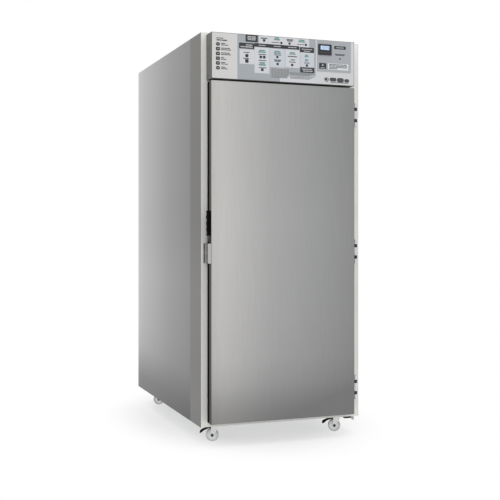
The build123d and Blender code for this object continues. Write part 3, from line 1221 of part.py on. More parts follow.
def make_corner_buffer():
    """Black stop block under the front right corner, with a small bracket beside it."""
    left = HALF_WIDTH - BUFFER_FROM_SIDE
    bracket = left + BUFFER_WIDTH
    right = bracket + BUFFER_BRACKET_WIDTH
    front, back = FRAME_Y + 2, FRAME_Y + 2 + BUFFER_DEPTH
    with BuildPart() as corner_buffer:
        block(left, bracket, front, back, BASE_Z - BUFFER_HEIGHT, BASE_Z)
        block(bracket, right, front, back, BASE_Z - 2, BASE_Z)
        block(right - 2, right, front, back, BASE_Z - BUFFER_BRACKET_HEIGHT, BASE_Z)
    save(corner_buffer.part, "corner_buffer")


make_base_pan()
make_frame_stiles()
make_cross_tube("frame_sill", 0, SILL_HEIGHT)
make_cross_tube("frame_header", CHAMBER_TOP, HEADER_TOP)
make_side_skins()
make_back_skin()
make_roof_cover()
make_insulation_slabs()
make_chamber_liner()
make_machine_deck()
make_door_outer_skin()
make_door_inner_frame()
make_door_insulation()
make_door_inner_liner()
make_door_gasket()
make_hinge_frame_halves()
make_hinge_door_halves()
make_hinge_bushes()
make_latch_housing()
make_latch_lever()
make_latch_grip()
make_latch_keeper()
make_fascia_box()
make_fascia_overlay()
make_controller_housing()
make_controller_window()
make_controller_buttons()
make_rack_uprights()
make_tray_runners()
make_air_duct_panel()
make_circulation_fan_motors()
make_circulation_fan_blades()
make_evaporator_coil()
make_heater_element()
make_humidifier_pan()
make_compressor()
make_condenser_coil()
make_condenser_fan()
make_refrigerant_pipes()
make_electrical_box()
make_caster_plates()
make_caster_bolts()
make_casters()
make_drain_spigot()
make_cable_gland()
make_corner_buffer()
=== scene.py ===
import bpy
import bmesh
import json
import math
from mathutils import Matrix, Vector


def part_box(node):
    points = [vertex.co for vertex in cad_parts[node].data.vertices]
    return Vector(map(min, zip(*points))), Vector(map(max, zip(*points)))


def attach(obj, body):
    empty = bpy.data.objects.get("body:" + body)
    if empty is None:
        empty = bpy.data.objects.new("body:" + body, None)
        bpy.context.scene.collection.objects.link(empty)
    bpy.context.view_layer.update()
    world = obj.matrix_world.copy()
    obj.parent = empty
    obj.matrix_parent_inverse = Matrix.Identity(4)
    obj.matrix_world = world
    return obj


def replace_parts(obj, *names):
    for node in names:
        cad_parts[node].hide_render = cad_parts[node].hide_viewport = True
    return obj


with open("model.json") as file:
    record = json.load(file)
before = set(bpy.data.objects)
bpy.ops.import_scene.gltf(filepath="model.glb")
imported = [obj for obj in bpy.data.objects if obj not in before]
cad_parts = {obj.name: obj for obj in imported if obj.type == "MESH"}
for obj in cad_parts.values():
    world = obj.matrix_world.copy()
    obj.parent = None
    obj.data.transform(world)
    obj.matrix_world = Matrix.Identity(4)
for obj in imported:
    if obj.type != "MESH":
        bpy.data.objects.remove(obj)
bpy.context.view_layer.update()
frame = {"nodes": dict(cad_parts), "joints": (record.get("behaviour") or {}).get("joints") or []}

# ---- studio ----------------------------------------------------------------------------
# The camera stands to the left of the cabinet at chest height and looks level, so
# uprights stay upright.  Its place is counted from the front left edge of the frame.
side_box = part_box("side_skin_left")
frame_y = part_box("frame_stiles")[0].y
rear_y = side_box[1].y
left_x = side_box[0].x
body_bottom = side_box[0].z
camera_data = bpy.data.cameras.new("camera")
camera_data.lens = 67.68
camera_data.sensor_width = 36.0
camera_data.shift_y = -0.0435
camera = bpy.data.objects.new("camera", camera_data)
bpy.context.collection.objects.link(camera)
camera.location = (left_x - 1.3065, frame_y - 4.2062, body_bottom + 0.9332)
camera.rotation_euler = (math.radians(90), 0, math.radians(-20.26))
bpy.context.scene.camera = camera
bpy.context.scene.view_settings.view_transform = "Standard"


def studio_world():
    """White all round, with a darker ground half that the steel picks up."""
    world = bpy.data.worlds.new("studio")
    bpy.context.scene.world = world
    world.use_nodes = True
    tree = world.node_tree
    tree.nodes.clear()
    out = tree.nodes.new("ShaderNodeOutputWorld")
    seen = tree.nodes.new("ShaderNodeBackground")
    cast = tree.nodes.new("ShaderNodeBackground")
    seen.inputs["Color"].default_value = (1, 1, 1, 1)
    cast.inputs["Strength"].default_value = 0.9
    direction = tree.nodes.new("ShaderNodeTexCoord")
    split = tree.nodes.new("ShaderNodeSeparateXYZ")
    lift = tree.nodes.new("ShaderNodeMapRange")
    lift.inputs["From Min"].default_value = -1
    ramp = tree.nodes.new("ShaderNodeValToRGB")
    low, high = ramp.color_ramp.elements
    low.position, low.color = 0.42, (0.62, 0.62, 0.62, 1)
    high.position, high.color = 0.75, (1, 1, 1, 1)
    path = tree.nodes.new("ShaderNodeLightPath")
    either = tree.nodes.new("ShaderNodeMixShader")
    link = tree.links.new
    link(direction.outputs["Generated"], split.inputs[0])
    link(split.outputs["Z"], lift.inputs["Value"])
    link(lift.outputs["Result"], ramp.inputs["Fac"])
    link(ramp.outputs["Color"], cast.inputs["Color"])
    link(path.outputs["Is Camera Ray"], either.inputs["Fac"])
    link(cast.outputs[0], either.inputs[1])
    link(seen.outputs[0], either.inputs[2])
    link(either.outputs[0], out.inputs["Surface"])


def soft_light(name, place, aim, size, power):
    """A square area light that faces a point."""
    data = bpy.data.lights.new(name, "AREA")
    data.size = size
    data.energy = power
    lamp = bpy.data.objects.new(name, data)
    bpy.context.collection.objects.link(lamp)
    lamp.location = place
    lamp.rotation_euler = (Vector(aim) - Vector(place)).to_track_quat("-Z", "Y").to_euler()


studio_world()
soft_light("overhead", (0.6, -0.8, 4.2), (0, 0, 0.6), 3.5, 60)
soft_light("front_fill", (-2.2, -4.5, 2.6), (0, 0, 1.0), 2.5, 25)


class Shader:
    """A Principled material whose noise patterns are fixed to the object."""

    def __init__(self, name, color, roughness, metallic=0.0):
        self.material = bpy.data.materials.new(name)
        self.material.use_nodes = True
        self.tree = self.material.node_tree
        self.shader = self.tree.nodes["Principled BSDF"]
        self.shader.inputs["Base Color"].default_value = (*color, 1)
        self.shader.inputs["Roughness"].default_value = roughness
        self.shader.inputs["Metallic"].default_value = metallic
        self.place = self.tree.nodes.new("ShaderNodeTexCoord").outputs["Object"]

    def link(self, start, end):
        self.tree.links.new(start, end)

    def stretched(self, scale):
        """The object's own coordinates, scaled by a different amount along each axis."""
        node = self.tree.nodes.new("ShaderNodeVectorMath")
        node.operation = "MULTIPLY"
        node.inputs[1].default_value = scale
        self.link(self.place, node.inputs[0])
        return node.outputs[0]

    def noise(self, scale, detail=2, along=None):
        node = self.tree.nodes.new("ShaderNodeTexNoise")
        node.inputs["Scale"].default_value = scale
        node.inputs["Detail"].default_value = detail
        self.link(along or self.place, node.inputs["Vector"])
        return node.outputs["Fac"]

    def spread(self, value, low, high, start=0.3, end=0.7, smooth=False):
        """A value from start to end turned into one from low to high."""
        node = self.tree.nodes.new("ShaderNodeMapRange")
        if smooth:
            node.interpolation_type = "SMOOTHSTEP"
        node.inputs["From Min"].default_value = start
        node.inputs["From Max"].default_value = end
        node.inputs["To Min"].default_value = low
        node.inputs["To Max"].default_value = high
        self.link(value, node.inputs["Value"])
        return node.outputs["Result"]

    def math(self, operation, first, second):
        node = self.tree.nodes.new("ShaderNodeMath")
        node.operation = operation
        self.link(first, node.inputs[0])
        self.link(second, node.inputs[1])
        return node.outputs[0]

    def product(self, first, second):
        return self.math("MULTIPLY", first, second)

    def largest(self, first, second):
        return self.math("MAXIMUM", first, second)

    def scaled_color(self, color, amount):
        """A colour (a tuple or a socket) made lighter or darker by a value."""
        node = self.tree.nodes.new("ShaderNodeVectorMath")
        node.operation = "SCALE"
        if isinstance(color, tuple):
            node.inputs[0].default_value = color
        else:
            self.link(color, node.inputs[0])
        self.link(amount, node.inputs["Scale"])
        self.link(node.outputs[0], self.shader.inputs["Base Color"])

    def rough(self, value):
        self.link(value, self.shader.inputs["Roughness"])

    def bump(self, height, strength, distance):
        node = self.tree.nodes.new("ShaderNodeBump")
        node.inputs["Strength"].default_value = strength
        node.inputs["Distance"].default_value = distance
        self.link(height, node.inputs["Height"])
        self.link(node.outputs["Normal"], self.shader.inputs["Normal"])

    def ramp(self, value, stops):
        """Colours placed along a value: (place, colour) pairs in order."""
        low, high = stops[0][0], stops[-1][0]
        node = self.tree.nodes.new("ShaderNodeValToRGB")
        points = node.color_ramp.elements
        points[0].position = 0
        points[1].position = 1
        for where, _ in stops[1:-1]:
            points.new((where - low) / (high - low))
        for point, (_, color) in zip(points, stops):
            point.color = (*color, 1)
        self.link(self.spread(value, 0, 1, low, high), node.inputs["Fac"])
        return node.outputs["Color"]

    def axis(self, name):
        node = self.tree.nodes.new("ShaderNodeSeparateXYZ")
        self.link(self.place, node.inputs[0])
        return node.outputs[name]


def floor_material():
    """Pale floor, half matt and half an even glow next to the cabinet, where the glow is painted
    light that lifts the cabinet's shadow; a little way out the glow alone turns it pure white.
    """
    s = Shader("floor", (0.9, 0.9, 0.9), 0.5)
    s.rough(s.spread(s.noise(3), 0.45, 0.55))
    reach = s.tree.nodes.new("ShaderNodeVectorMath")
    reach.operation = "LENGTH"
    s.link(s.stretched((1.25, 0.85, 1)), reach.inputs[0])
    backdrop_and_shadow_lift_glow = s.tree.nodes.new("ShaderNodeEmission")
    mix = s.tree.nodes.new("ShaderNodeMixShader")
    # The half glow next to the cabinet is painted light that lifts its shadow; further out the glow
    # alone gives a pure white floor.
    s.link(s.spread(reach.outputs["Value"], 0.5, 1, 0.45, 0.95, True), mix.inputs["Fac"])
    s.link(s.shader.outputs[0], mix.inputs[1])
    s.link(backdrop_and_shadow_lift_glow.outputs[0], mix.inputs[2])
    s.link(mix.outputs[0], s.tree.nodes["Material Output"].inputs["Surface"])
    return s.material


floor_mesh = bpy.data.meshes.new("floor")
floor_half = 30
floor_mesh.from_pydata([(x * floor_half, y * floor_half, 0)
                        for x, y in ((-1, -1), (1, -1), (1, 1), (-1, 1))], [], [(0, 1, 2, 3)])
floor_mesh.materials.append(floor_material())
floor = bpy.data.objects.new("floor", floor_mesh)
bpy.context.collection.objects.link(floor)


def dress(material, *nodes):
    """Gives CAD nodes a material in every slot."""
    for node in nodes:
        piece = frame["nodes"][node]
        if not piece.data.materials:
            piece.data.materials.append(material)
        for slot in piece.material_slots:
            slot.material = material


# ---- frame -----------------------------------------------------------------------------
# Box tubes of folded and welded sheet steel round the door opening, powder coated pale
# warm grey.  The coat has a fine orange-peel surface.
def coated_steel(name, color, roughness=0.45, grain=0.03):
    s = Shader(name, color, roughness)
    s.scaled_color(color, s.spread(s.noise(2.5), 0.96, 1.04))
    s.rough(s.spread(s.noise(14), roughness - 0.04, roughness + 0.04))
    s.bump(s.noise(900), grain, 0.0005)
    return s.material


dress(coated_steel("frame_coat", (0.76, 0.755, 0.725)),
      "frame_stiles", "frame_sill", "frame_header")


# ---- side, roof and door sheets --------------------------------------------------------
# Stainless steel sheet, folded at the edges, with a fine brushed grain that stands
# upright on the sides and the door.  Its tone drifts across the sheet.  On the sides and
# the door this drift is a painted reflection, lighter towards the back of each side and the
# left of the door, the darkening towards the floor is painted shade, and the darker strip
# along the front edge of each side is painted shade too.
def brushed_steel(name, axis, tones, grain=(900, 900, 6), painted_shade_falls=None, painted_shade_limit=None,
                  roughness=0.34, metallic=1.0, shine=0.5):
    """Colour stops run along one axis and on some sheets are painted reflection and shade; the
    height stops darken the sheet towards the floor as painted shade, except where the limit given
    after them holds it back.
    """
    s = Shader(name, (0.6, 0.6, 0.6), roughness, metallic)
    s.shader.inputs["Specular IOR Level"].default_value = shine
    brush = s.noise(1, 5, s.stretched(grain))
    amount = s.spread(brush, 0.94, 1.06)
    # Painted shade: the sheet darkens by height towards the floor.
    if painted_shade_falls:
        fall = s.ramp(s.axis("Z"), [(body_bottom + z, (f, f, f)) for z, f in painted_shade_falls])
        if painted_shade_limit:
            start, end, first, last = painted_shade_limit
            fall = s.largest(fall, s.spread(s.axis(axis), first, last, start, end))
        amount = s.product(amount, fall)
    s.scaled_color(s.ramp(s.axis(axis), tones), amount)
    s.rough(s.spread(brush, roughness - 0.05, roughness + 0.05))
    s.bump(brush, 0.08, 0.0002)
    return s.material


def grey(value, warm=0.0):
    """A steel tone, a little warmer or cooler than neutral."""
    return (value * (1 + warm), value, value * (1 - 1.6 * warm))


# Painted light on the sides: the tone rises from the front towards a painted highlight along the
# back edge and darkens towards the floor as painted shade, and the warm dark strip along the front
# edge is painted shade that darkens little towards the floor.
shade_strip_y = frame_y + 0.17
side_steel_painted_light = brushed_steel("side_steel_painted_light", "Y", [
    (frame_y, grey(0.196, 0.02)), (shade_strip_y - 0.006, grey(0.20, 0.02)),
    (shade_strip_y + 0.006, grey(0.283)), (frame_y + 0.55, grey(0.365)),
    (rear_y - 0.15, grey(0.575)), (rear_y - 0.03, grey(0.66)), (rear_y, grey(0.80))],
    painted_shade_falls=[(0, 0.16), (0.07, 0.21), (0.14, 0.36), (0.24, 0.58), (0.36, 0.68), (0.55, 0.76),
           (0.75, 0.89), (0.95, 1.02), (1.15, 1.09), (1.85, 1.08)],
    painted_shade_limit=(shade_strip_y - 0.006, shade_strip_y + 0.006, 0.66, 0))
dress(side_steel_painted_light, "side_skin_left", "side_skin_right")
roof_steel = brushed_steel("roof_steel", "X", [(-0.4, grey(0.27)), (0.4, grey(0.31))],
                           (6, 900, 900))
door_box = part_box("door_outer_skin")
door_left, door_right = door_box[0].x, door_box[1].x
# Painted light on the door: both side faces are painted dark as painted shade, the front is a
# painted reflection, lightest near the left edge and darker to the right, and it darkens towards
# the floor as painted shade, less so towards the right.
door_steel_painted_light = brushed_steel("door_steel_painted_light", "X", [
    (door_left, grey(0.07, 0.05)), (door_left + 0.0016, grey(0.09, 0.05)),
    (door_left + 0.003, grey(0.60, 0.02)), (door_left + 0.05, grey(0.63, 0.012)),
    (door_left + 0.3, grey(0.47)), (door_right - 0.1, grey(0.36, -0.005)),
    (door_right - 0.003, grey(0.325, -0.005)), (door_right, grey(0.2))],
    painted_shade_falls=[(0.02, 0.42), (0.07, 0.47), (0.13, 0.56), (0.2, 0.68), (0.32, 0.80), (0.5, 0.87),
           (0.75, 0.94), (1.0, 1.0), (1.62, 1.01)],
    painted_shade_limit=(door_left + 0.35, door_right, 0.40, 0.60))
dress(door_steel_painted_light, "door_outer_skin")


# ---- plain inner sheets ----------------------------------------------------------------
# The back, the base, the machine deck and the electrical box are folded from galvanised
# steel sheet, left bare, so the soft spangle of the zinc shows.
def galvanised(name):
    s = Shader(name, (0.5, 0.51, 0.52), 0.4, 0.85)
    cells = s.tree.nodes.new("ShaderNodeTexVoronoi")
    cells.inputs["Scale"].default_value = 70
    s.link(s.place, cells.inputs["Vector"])
    s.scaled_color((0.5, 0.51, 0.52), s.spread(cells.outputs["Distance"], 0.92, 1.06, 0, 0.6))
    s.rough(s.spread(cells.outputs["Distance"], 0.34, 0.46, 0, 0.6))
    return s.material


dress(galvanised("galvanised"), "back_skin", "base_pan", "machine_deck", "electrical_box")


# ---- plastics and rubber ---------------------------------------------------------------
# The frame round the back of the door, the brake pedals and the hinge bushes are black
# injection mouldings with a light spark texture.  The corner buffer is a rubber pad,
# pressed on to a small steel bracket.
def moulded(name, color, roughness=0.5, grain=0.15, shine=0.5):
    s = Shader(name, color, roughness)
    s.shader.inputs["Specular IOR Level"].default_value = shine
    spark = s.noise(1500)
    s.scaled_color(color, s.spread(s.noise(20), 0.93, 1.07))
    s.rough(s.spread(spark, roughness - 0.06, roughness + 0.06))
    s.bump(spark, grain, 0.0002)
    return s.material


black_plastic = moulded("black_plastic", (0.003, 0.0026, 0.0022), 0.75, shine=0.03)
dress(black_plastic, "door_inner_frame", "brake_pedal_front_left", "brake_pedal_front_right")
dress(moulded("bush_black", (0.03, 0.028, 0.026), 0.6, shine=0.25), "hinge_bushes")
buffer_low, buffer_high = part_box("corner_buffer")
bracket_x = buffer_high.x - 0.016
dress(brushed_steel("buffer_and_bracket", "X", [
    (buffer_low.x, grey(0.008)), (bracket_x - 0.0005, grey(0.008)),
    (bracket_x + 0.0005, grey(0.62)), (buffer_high.x, grey(0.66))],
    roughness=0.6, metallic=0.0, shine=0.1), "corner_buffer")


# ---- hinges, latch and casters ---------------------------------------------------------
# The hinges and the caster plates and forks are pressed from steel and zinc plated, the hinges
# and forks bright; the caster plates carry a near-black tone that is painted shade.  The latch box
# is a satin chrome casting whose side faces are painted dark as painted shade, its keeper's darker
# tone is painted shade, and the near-black tone of its steel lever is painted shade too.
def plated(name, color, roughness=0.25, scale=60):
    s = Shader(name, color, roughness, 1.0)
    cloud = s.noise(scale)
    s.scaled_color(color, s.spread(cloud, 0.93, 1.05))
    s.rough(s.spread(cloud, roughness - 0.06, roughness + 0.08))
    return s.material


zinc = plated("zinc", (0.70, 0.70, 0.685), 0.38)
dark_steel = plated("dark_steel", (0.06, 0.06, 0.058), 0.4)
dress(zinc, "hinge_frame_halves", "hinge_door_halves")
# The keeper's darker steel tone is painted shade, standing in for the shadow on it.
dress(plated("keeper_steel_painted_shade", (0.27, 0.27, 0.26), 0.4), "latch_keeper")
# The caster plates and bolts get a near-black zinc tone, painted shade of the shadow under the
# cabinet.
dress(plated("zinc_painted_shade", (0.10, 0.10, 0.10), 0.45), "caster_plates", "caster_bolts")
dress(plated("bright_zinc", (0.62, 0.62, 0.61), 0.22, 90),
      *[n for n in frame["nodes"] if n.startswith("caster_fork")])
# Painted shade on the latch box: its side faces are painted dark from just behind the front edge,
# lightening towards the back, while its front face stays light.
latch_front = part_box("latch_housing")[0].y
dress(brushed_steel("latch_steel_painted_shade", "Y", [
    (latch_front, grey(0.44)), (latch_front + 0.0012, grey(0.42)),
    (latch_front + 0.0034, grey(0.055)), (latch_front + 0.049, grey(0.29))],
    roughness=0.5, metallic=0.3, shine=0.15), "latch_housing")
# The lever's near-black steel tone is painted shade, standing in for the shadow on its stem.
dress(dark_steel, "latch_lever")


# ---- machine and air duct parts --------------------------------------------------------
# The coils have aluminium fins and the fans stamped aluminium blades.  The compressor is
# painted black, its pipes are bare copper, and the motors and the heater are dark steel.
dress(dark_steel, "heater_element", "condenser_fan_motor", "circulation_fan_motors")
dress(plated("fins", (0.7, 0.71, 0.72), 0.4, 200), "evaporator_coil", "condenser_coil",
      "condenser_fan_blades", "circulation_fan_blades_left", "circulation_fan_blades_right")
dress(coated_steel("black_coat", (0.02, 0.02, 0.02)), "compressor")
dress(plated("copper", (0.75, 0.42, 0.28)), "refrigerant_pipes")


# ---- chamber lining and insulation -----------------------------------------------------
# Stainless steel sheet lines the chamber and the back of the door, and the rack inside is
# of the same steel.  Slabs of rigid foam fill the gap behind the lining.
liner_steel = brushed_steel("liner_steel", "Z", [(0, grey(0.55)), (2, grey(0.58))],
                            (6, 900, 900))
dress(liner_steel, "chamber_liner", "door_inner_liner", "rack_uprights", "tray_runners",
      "air_duct_panel", "humidifier_pan", "drain_spigot")
dress(moulded("foam", (0.75, 0.66, 0.42), 0.9, 0.4), "insulation_slabs", "door_insulation")


# ---- fascia ----------------------------------------------------------------------------
# A folded steel box in a dark grey coat, whose dark tone is partly painted shade on its side
# faces, with one sheet of polycarbonate film glued to its face.  The film is printed in layers
# of ink and has a hole for the controller.  Words, marks and icons are plain bars, rings and dots.
# The dark grey is partly painted shade on the box's side faces.
dress(coated_steel("fascia_grey", (0.10, 0.10, 0.092)), "fascia_box")
film_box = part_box("fascia_overlay")
print_left = film_box[0].x - 0.002
print_bottom = film_box[0].z - 0.002
film_back = film_box[1].y
MM = 0.001


def outline(width, height, radius, steps=4):
    """Corner points of a rounded rectangle about its own centre, counter-clockwise."""
    radius = min(radius, width / 2, height / 2)
    points = []
    for turn, (sx, sz) in enumerate(((1, 1), (-1, 1), (-1, -1), (1, -1))):
        cx, cz = sx * (width / 2 - radius), sz * (height / 2 - radius)
        for i in range(steps + 1 if radius > 0 else 1):
            angle = math.pi / 2 * (turn + i / steps)
            points.append((cx + radius * math.cos(angle), cz + radius * math.sin(angle)))
    return points


def bridge(made, first, second):
    """Joins two closed loops of the same length with a band of faces."""
    for i in range(len(first)):
        j = (i + 1) % len(first)
        made.faces.new((first[i], first[j], second[j], second[i]))


def finished(name, made, material, body="cabinet"):
    """Makes a piece of the built mesh, with one material, that rides on a CAD body."""
    bmesh.ops.recalc_face_normals(made, faces=made.faces)
    mesh = bpy.data.meshes.new(name)
    made.to_mesh(mesh)
    made.free()
    mesh.materials.append(material)
    piece = bpy.data.objects.new(name, mesh)
    bpy.context.collection.objects.link(piece)
    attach(piece, body)
    return piece


def plates(name, shapes, front, back, material, hole=None):
    """Flat plates that face the front: (x, z, width, height, corner radius) in metres.
    A plate that lies over the hole, given in the same way, is cut round it."""
    made = bmesh.new()
    for x, z, width, height, radius in shapes:
        ring = outline(width, height, radius)
        near = [made.verts.new((x + a, front, z + b)) for a, b in ring]
        far = [made.verts.new((x + a, back, z + b)) for a, b in ring]
        bridge(made, near, far)
        if hole and abs(x - hole[0]) < width / 2 and abs(z - hole[1]) < height / 2:
            rim = outline(*hole[2:])
            near_rim, far_rim = [
                [made.verts.new((hole[0] + a, depth, hole[1] + b)) for a, b in rim]
                for depth in (front, back)]
            bridge(made, near_rim, far_rim)
            bridge(made, near, near_rim)
            bridge(made, far, far_rim)
        else:
            made.faces.new(near)
            made.faces.new(far[::-1])
    return finished(name, made, material)


def ink(name, color, roughness=0.42):
    """Screen-printed ink under a fine satin lacquer."""
    s = Shader(name, color, roughness)
    s.scaled_color(color, s.spread(s.noise(400), 0.97, 1.03))
    s.bump(s.noise(2500), 0.02, 0.0001)
    return s.material


def words(x, z, width, height, lines=1, ragged=(1.0, 0.8, 0.9)):
    """Plain bars in rows, each broken into word-long pieces."""
    bars = []
    pitch = height / lines
    for row in range(lines):
        length = width * ragged[row % len(ragged)]
        top = z + height / 2 - pitch * (row + 0.5)
        parts = max(1, round(length / (pitch * 3.2)))
        step = length / parts
        for i in range(parts):
            part = step * (0.96 if (i + row) % 2 else 0.90)
            bars.append((x - length / 2 + step * (i + 0.48), top, part, pitch * 0.76, 0.5))
    return bars


film_face = film_back - 0.4 * MM
ink_step = 0.03 * MM
inks_printed = []


def on_fascia(shapes):
    """Shapes given in millimetres from the lower left corner of the fascia."""
    return [(print_left + x * MM, print_bottom + z * MM, w * MM, h * MM, r * MM)
            for x, z, w, h, r in shapes]


def print_layer(name, color, shapes, roughness=0.42):
    """One ink, which stands a hair's breadth proud of the ink printed before it."""
    front = film_face - 0.1 * MM - len(inks_printed) * ink_step
    inks_printed.append(name)
    plates("fascia_print_" + name, on_fascia(shapes), front, film_face,
           ink(name, color, roughness), window_hole)


case_low, case_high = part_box("controller_housing")
bezel_lap = 3 * MM
window_hole = ((case_low.x + case_high.x) / 2, (case_low.z + case_high.z) / 2,
               case_high.x - case_low.x - 2 * bezel_lap,
               case_high.z - case_low.z - 2 * bezel_lap, 1.5 * MM)
film = plates("fascia_film", on_fascia([(365, 107, 726, 210, 4)]), film_face, film_back,
              ink("film", (0.53, 0.54, 0.55)), window_hole)
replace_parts(film, "fascia_overlay")
print_layer("white", (0.55, 0.545, 0.54), [(64, 107, 124, 210, 3)])
print_layer("slate", (0.315, 0.34, 0.36), [(325.5, 107, 399, 210, 0)])
print_layer("pale", (0.54, 0.55, 0.575), [
    (362, 187, 258, 50, 2), (174, 109, 74, 68, 2), (249, 97, 75, 122, 2), (404.5, 114, 74, 86, 2),
    (480, 110, 73, 84, 2), (326.5, 112, 77, 88, 2), (432, 19, 186, 34, 3)])
print_layer("column_tint", (0.49, 0.52, 0.56), [(326.5, 110, 77, 84, 2), (480, 105, 73, 74, 2)])
print_layer("panel", (0.335, 0.35, 0.37), [(622, 136, 182, 150, 4)])
print_layer("panel_edge", (0.47, 0.49, 0.50), [
    (532, 136, 0.8, 142, 0.4), (712, 136, 0.8, 142, 0.4)])
icon_x, icon_top, icon_pitch, icon_rows = 30.5, 159, 22, 6
dark = [(197, 196, 61, 33, 2), (172, 160, 76, 26, 3), (325, 167, 229, 17, 1), (479, 160, 74, 25, 3),
        (481, 64, 74, 26, 2), (654, 182, 62, 15, 3), (562, 89, 38, 28, 2), (582, 25, 24, 24, 12)]
for row in range(icon_rows):
    icon_corner = 8 if row in (0, icon_rows - 1) else 4
    dark.append((icon_x, icon_top - icon_pitch * row, 19.5, 16.5, icon_corner))
for x, z, size, round_corner in (
        (259.5, 191, 12, 2), (347, 185, 12, 6), (389, 185, 11, 2), (473.5, 184.5, 12, 6),
        (173, 114, 17, 8.5), (173, 89, 17, 3), (243, 112, 13, 2), (260, 112, 13, 2),
        (250.5, 52.5, 13, 2), (326.5, 117, 12, 5), (328, 84, 12, 4), (402.5, 84, 12, 3),
        (479, 86, 12, 4), (653.5, 128.5, 9, 4.5)):
    dark.append((x, z, size, size, round_corner))
print_layer("black", (0.022, 0.023, 0.027), dark, 0.35)
teal = []
for x, z, width, height, lines in (
        (324.8, 203, 31, 16, 2), (452.5, 201, 36, 15, 2), (249, 139, 39, 15, 2),
        (250.5, 80, 36, 18, 2), (327, 139, 38, 15, 2), (404, 139, 34, 13, 2),
        (406, 108.5, 31, 8, 1), (477.5, 132, 21, 13, 2), (477, 111, 19, 12, 2)):
    teal.extend(words(x, z, width, height, lines, (0.82, 1.0)))
print_layer("teal", (0.10, 0.235, 0.205), teal)
text = words(40, 187, 35, 5) + words(49.5, 178, 53, 7, 1)
label_x = icon_x + 15
label_widths = ((22, 35), (45, 50), (43, 49), (16, 27), (22, 34), (23, 33))
for row, (first, second) in enumerate(label_widths):
    level = icon_top - icon_pitch * row
    text += words(label_x + first / 2, level + 4, first, 5)
    text += words(label_x + second / 2, level - 3, second, 5)
for x, z, width, height, lines in (
        (259, 201, 35, 6, 1), (317.5, 185, 41, 4, 1), (391, 200, 36, 12, 2),
        (446.5, 184, 38, 4, 1), (171.5, 129, 30, 5, 1), (169.5, 100.7, 30, 5, 1),
        (250, 124, 38, 5, 1), (250.5, 96, 40, 5, 1), (252, 62, 38, 5, 1),
        (328.5, 127, 36, 5, 1), (328, 100, 38, 11, 2), (404, 124, 49, 6, 1),
        (403.5, 98, 36, 5, 1), (479, 98, 28, 5, 1), (653, 147.5, 57, 9, 2)):
    text += words(x, z, width, height, lines)
print_layer("text", (0.035, 0.035, 0.04), text)
print_layer("notes_ground", (0.40, 0.41, 0.42), [(339, 43, 88, 40, 3)])
notes = []
for row in range(9):
    shorter = 8 if row > 6 else 0
    notes += words(340.5 - shorter / 2, 60 - 4.9 * row, 91 - shorter, 4.6, 1)
print_layer("notes", (0.17, 0.175, 0.18), notes)
notes = []
for row in range(6):
    ragged_by = row % 3
    notes += words(453 - 5 * ragged_by, 47 - 5.2 * row, 130 - 14 * ragged_by, 4.2, 1)
print_layer("notes_pale", (0.19, 0.195, 0.20), notes)
print_layer("warning_box", (0.62, 0.63, 0.65), [(644, 89, 110, 30, 2)])
box_text = []
for row, length in enumerate((94, 98, 96, 44)):
    box_text += words(596 + length / 2, 99 - 6.6 * row, length, 5.4, 1)
print_layer("box_text", (0.10, 0.10, 0.11), box_text)
pale_text = words(197, 204, 42, 6) + words(197, 197, 46, 6) + words(197, 190, 40, 6)
pale_text += words(184, 164, 34, 6) + words(172, 155, 62, 7)
for x, width in ((249, 36), (326, 36), (404, 44), (479, 56)):
    pale_text += words(x, 167 - (4 if x == 479 else 0), width, 5)
pale_text += words(479, 154, 34, 5) + words(480, 68, 54, 6) + words(484, 59, 52, 6)
pale_text += words(654, 182, 40, 5) + words(562, 80, 24, 4)
pale_text += [(562, 93, 9, 9, 4.5), (579, 26, 23, 23, 11.5)]
for row in range(icon_rows):
    level = icon_top - icon_pitch * row
    pale_text.append((icon_x, level + 1, 9, 1.8, 0.9))
    pale_text.append((icon_x, level - 2, 5, 1.4, 0.7))
print_layer("pale_text", (0.42, 0.43, 0.44), pale_text)
print_layer("badge", (0.05, 0.05, 0.055), [
    (579, 26, 15, 15, 7.5), (617, 26, 36, 18, 8), (656, 25, 36, 21, 8), (690, 24, 26, 16, 7),
    (650, 12, 96, 2.6, 1.3)])


# ---- controller ------------------------------------------------------------------------
# Black plastic case with a chamfered bezel, a clear window and three rocker keys.  The
# display behind the window is a pale back-lit panel with two rows of segments.
dress(moulded("bezel_black", (0.02, 0.02, 0.024), 0.32, 0.05), "controller_housing")
dress(moulded("key_black", (0.045, 0.045, 0.05), 0.4, 0.05),
      "controller_button_1", "controller_button_2", "controller_button_3")
glass = Shader("display_window", (0.9, 0.93, 0.97), 0.08)
glass.shader.inputs["Transmission Weight"].default_value = 1.0
glass.rough(glass.spread(glass.noise(90), 0.05, 0.11))
dress(glass.material, "controller_window")
window_low, window_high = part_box("controller_window")
window_x = (window_low.x + window_high.x) / 2
window_z = (window_low.z + window_high.z) / 2
lcd = Shader("display_panel", (0.55, 0.68, 0.86), 0.3)
lcd.shader.inputs["Emission Color"].default_value = (0.62, 0.76, 1.0, 1)
lcd.shader.inputs["Emission Strength"].default_value = 0.55
lcd.scaled_color((0.55, 0.68, 0.86), lcd.spread(lcd.noise(60), 0.95, 1.05))
panel_y = window_high.y + 0.2 * MM
plates("display_panel", [(window_x, window_z, 46 * MM, 19 * MM, 1 * MM)], panel_y,
       panel_y + 0.6 * MM, lcd.material)
segments = []
digit_pitch = 8.5 * MM
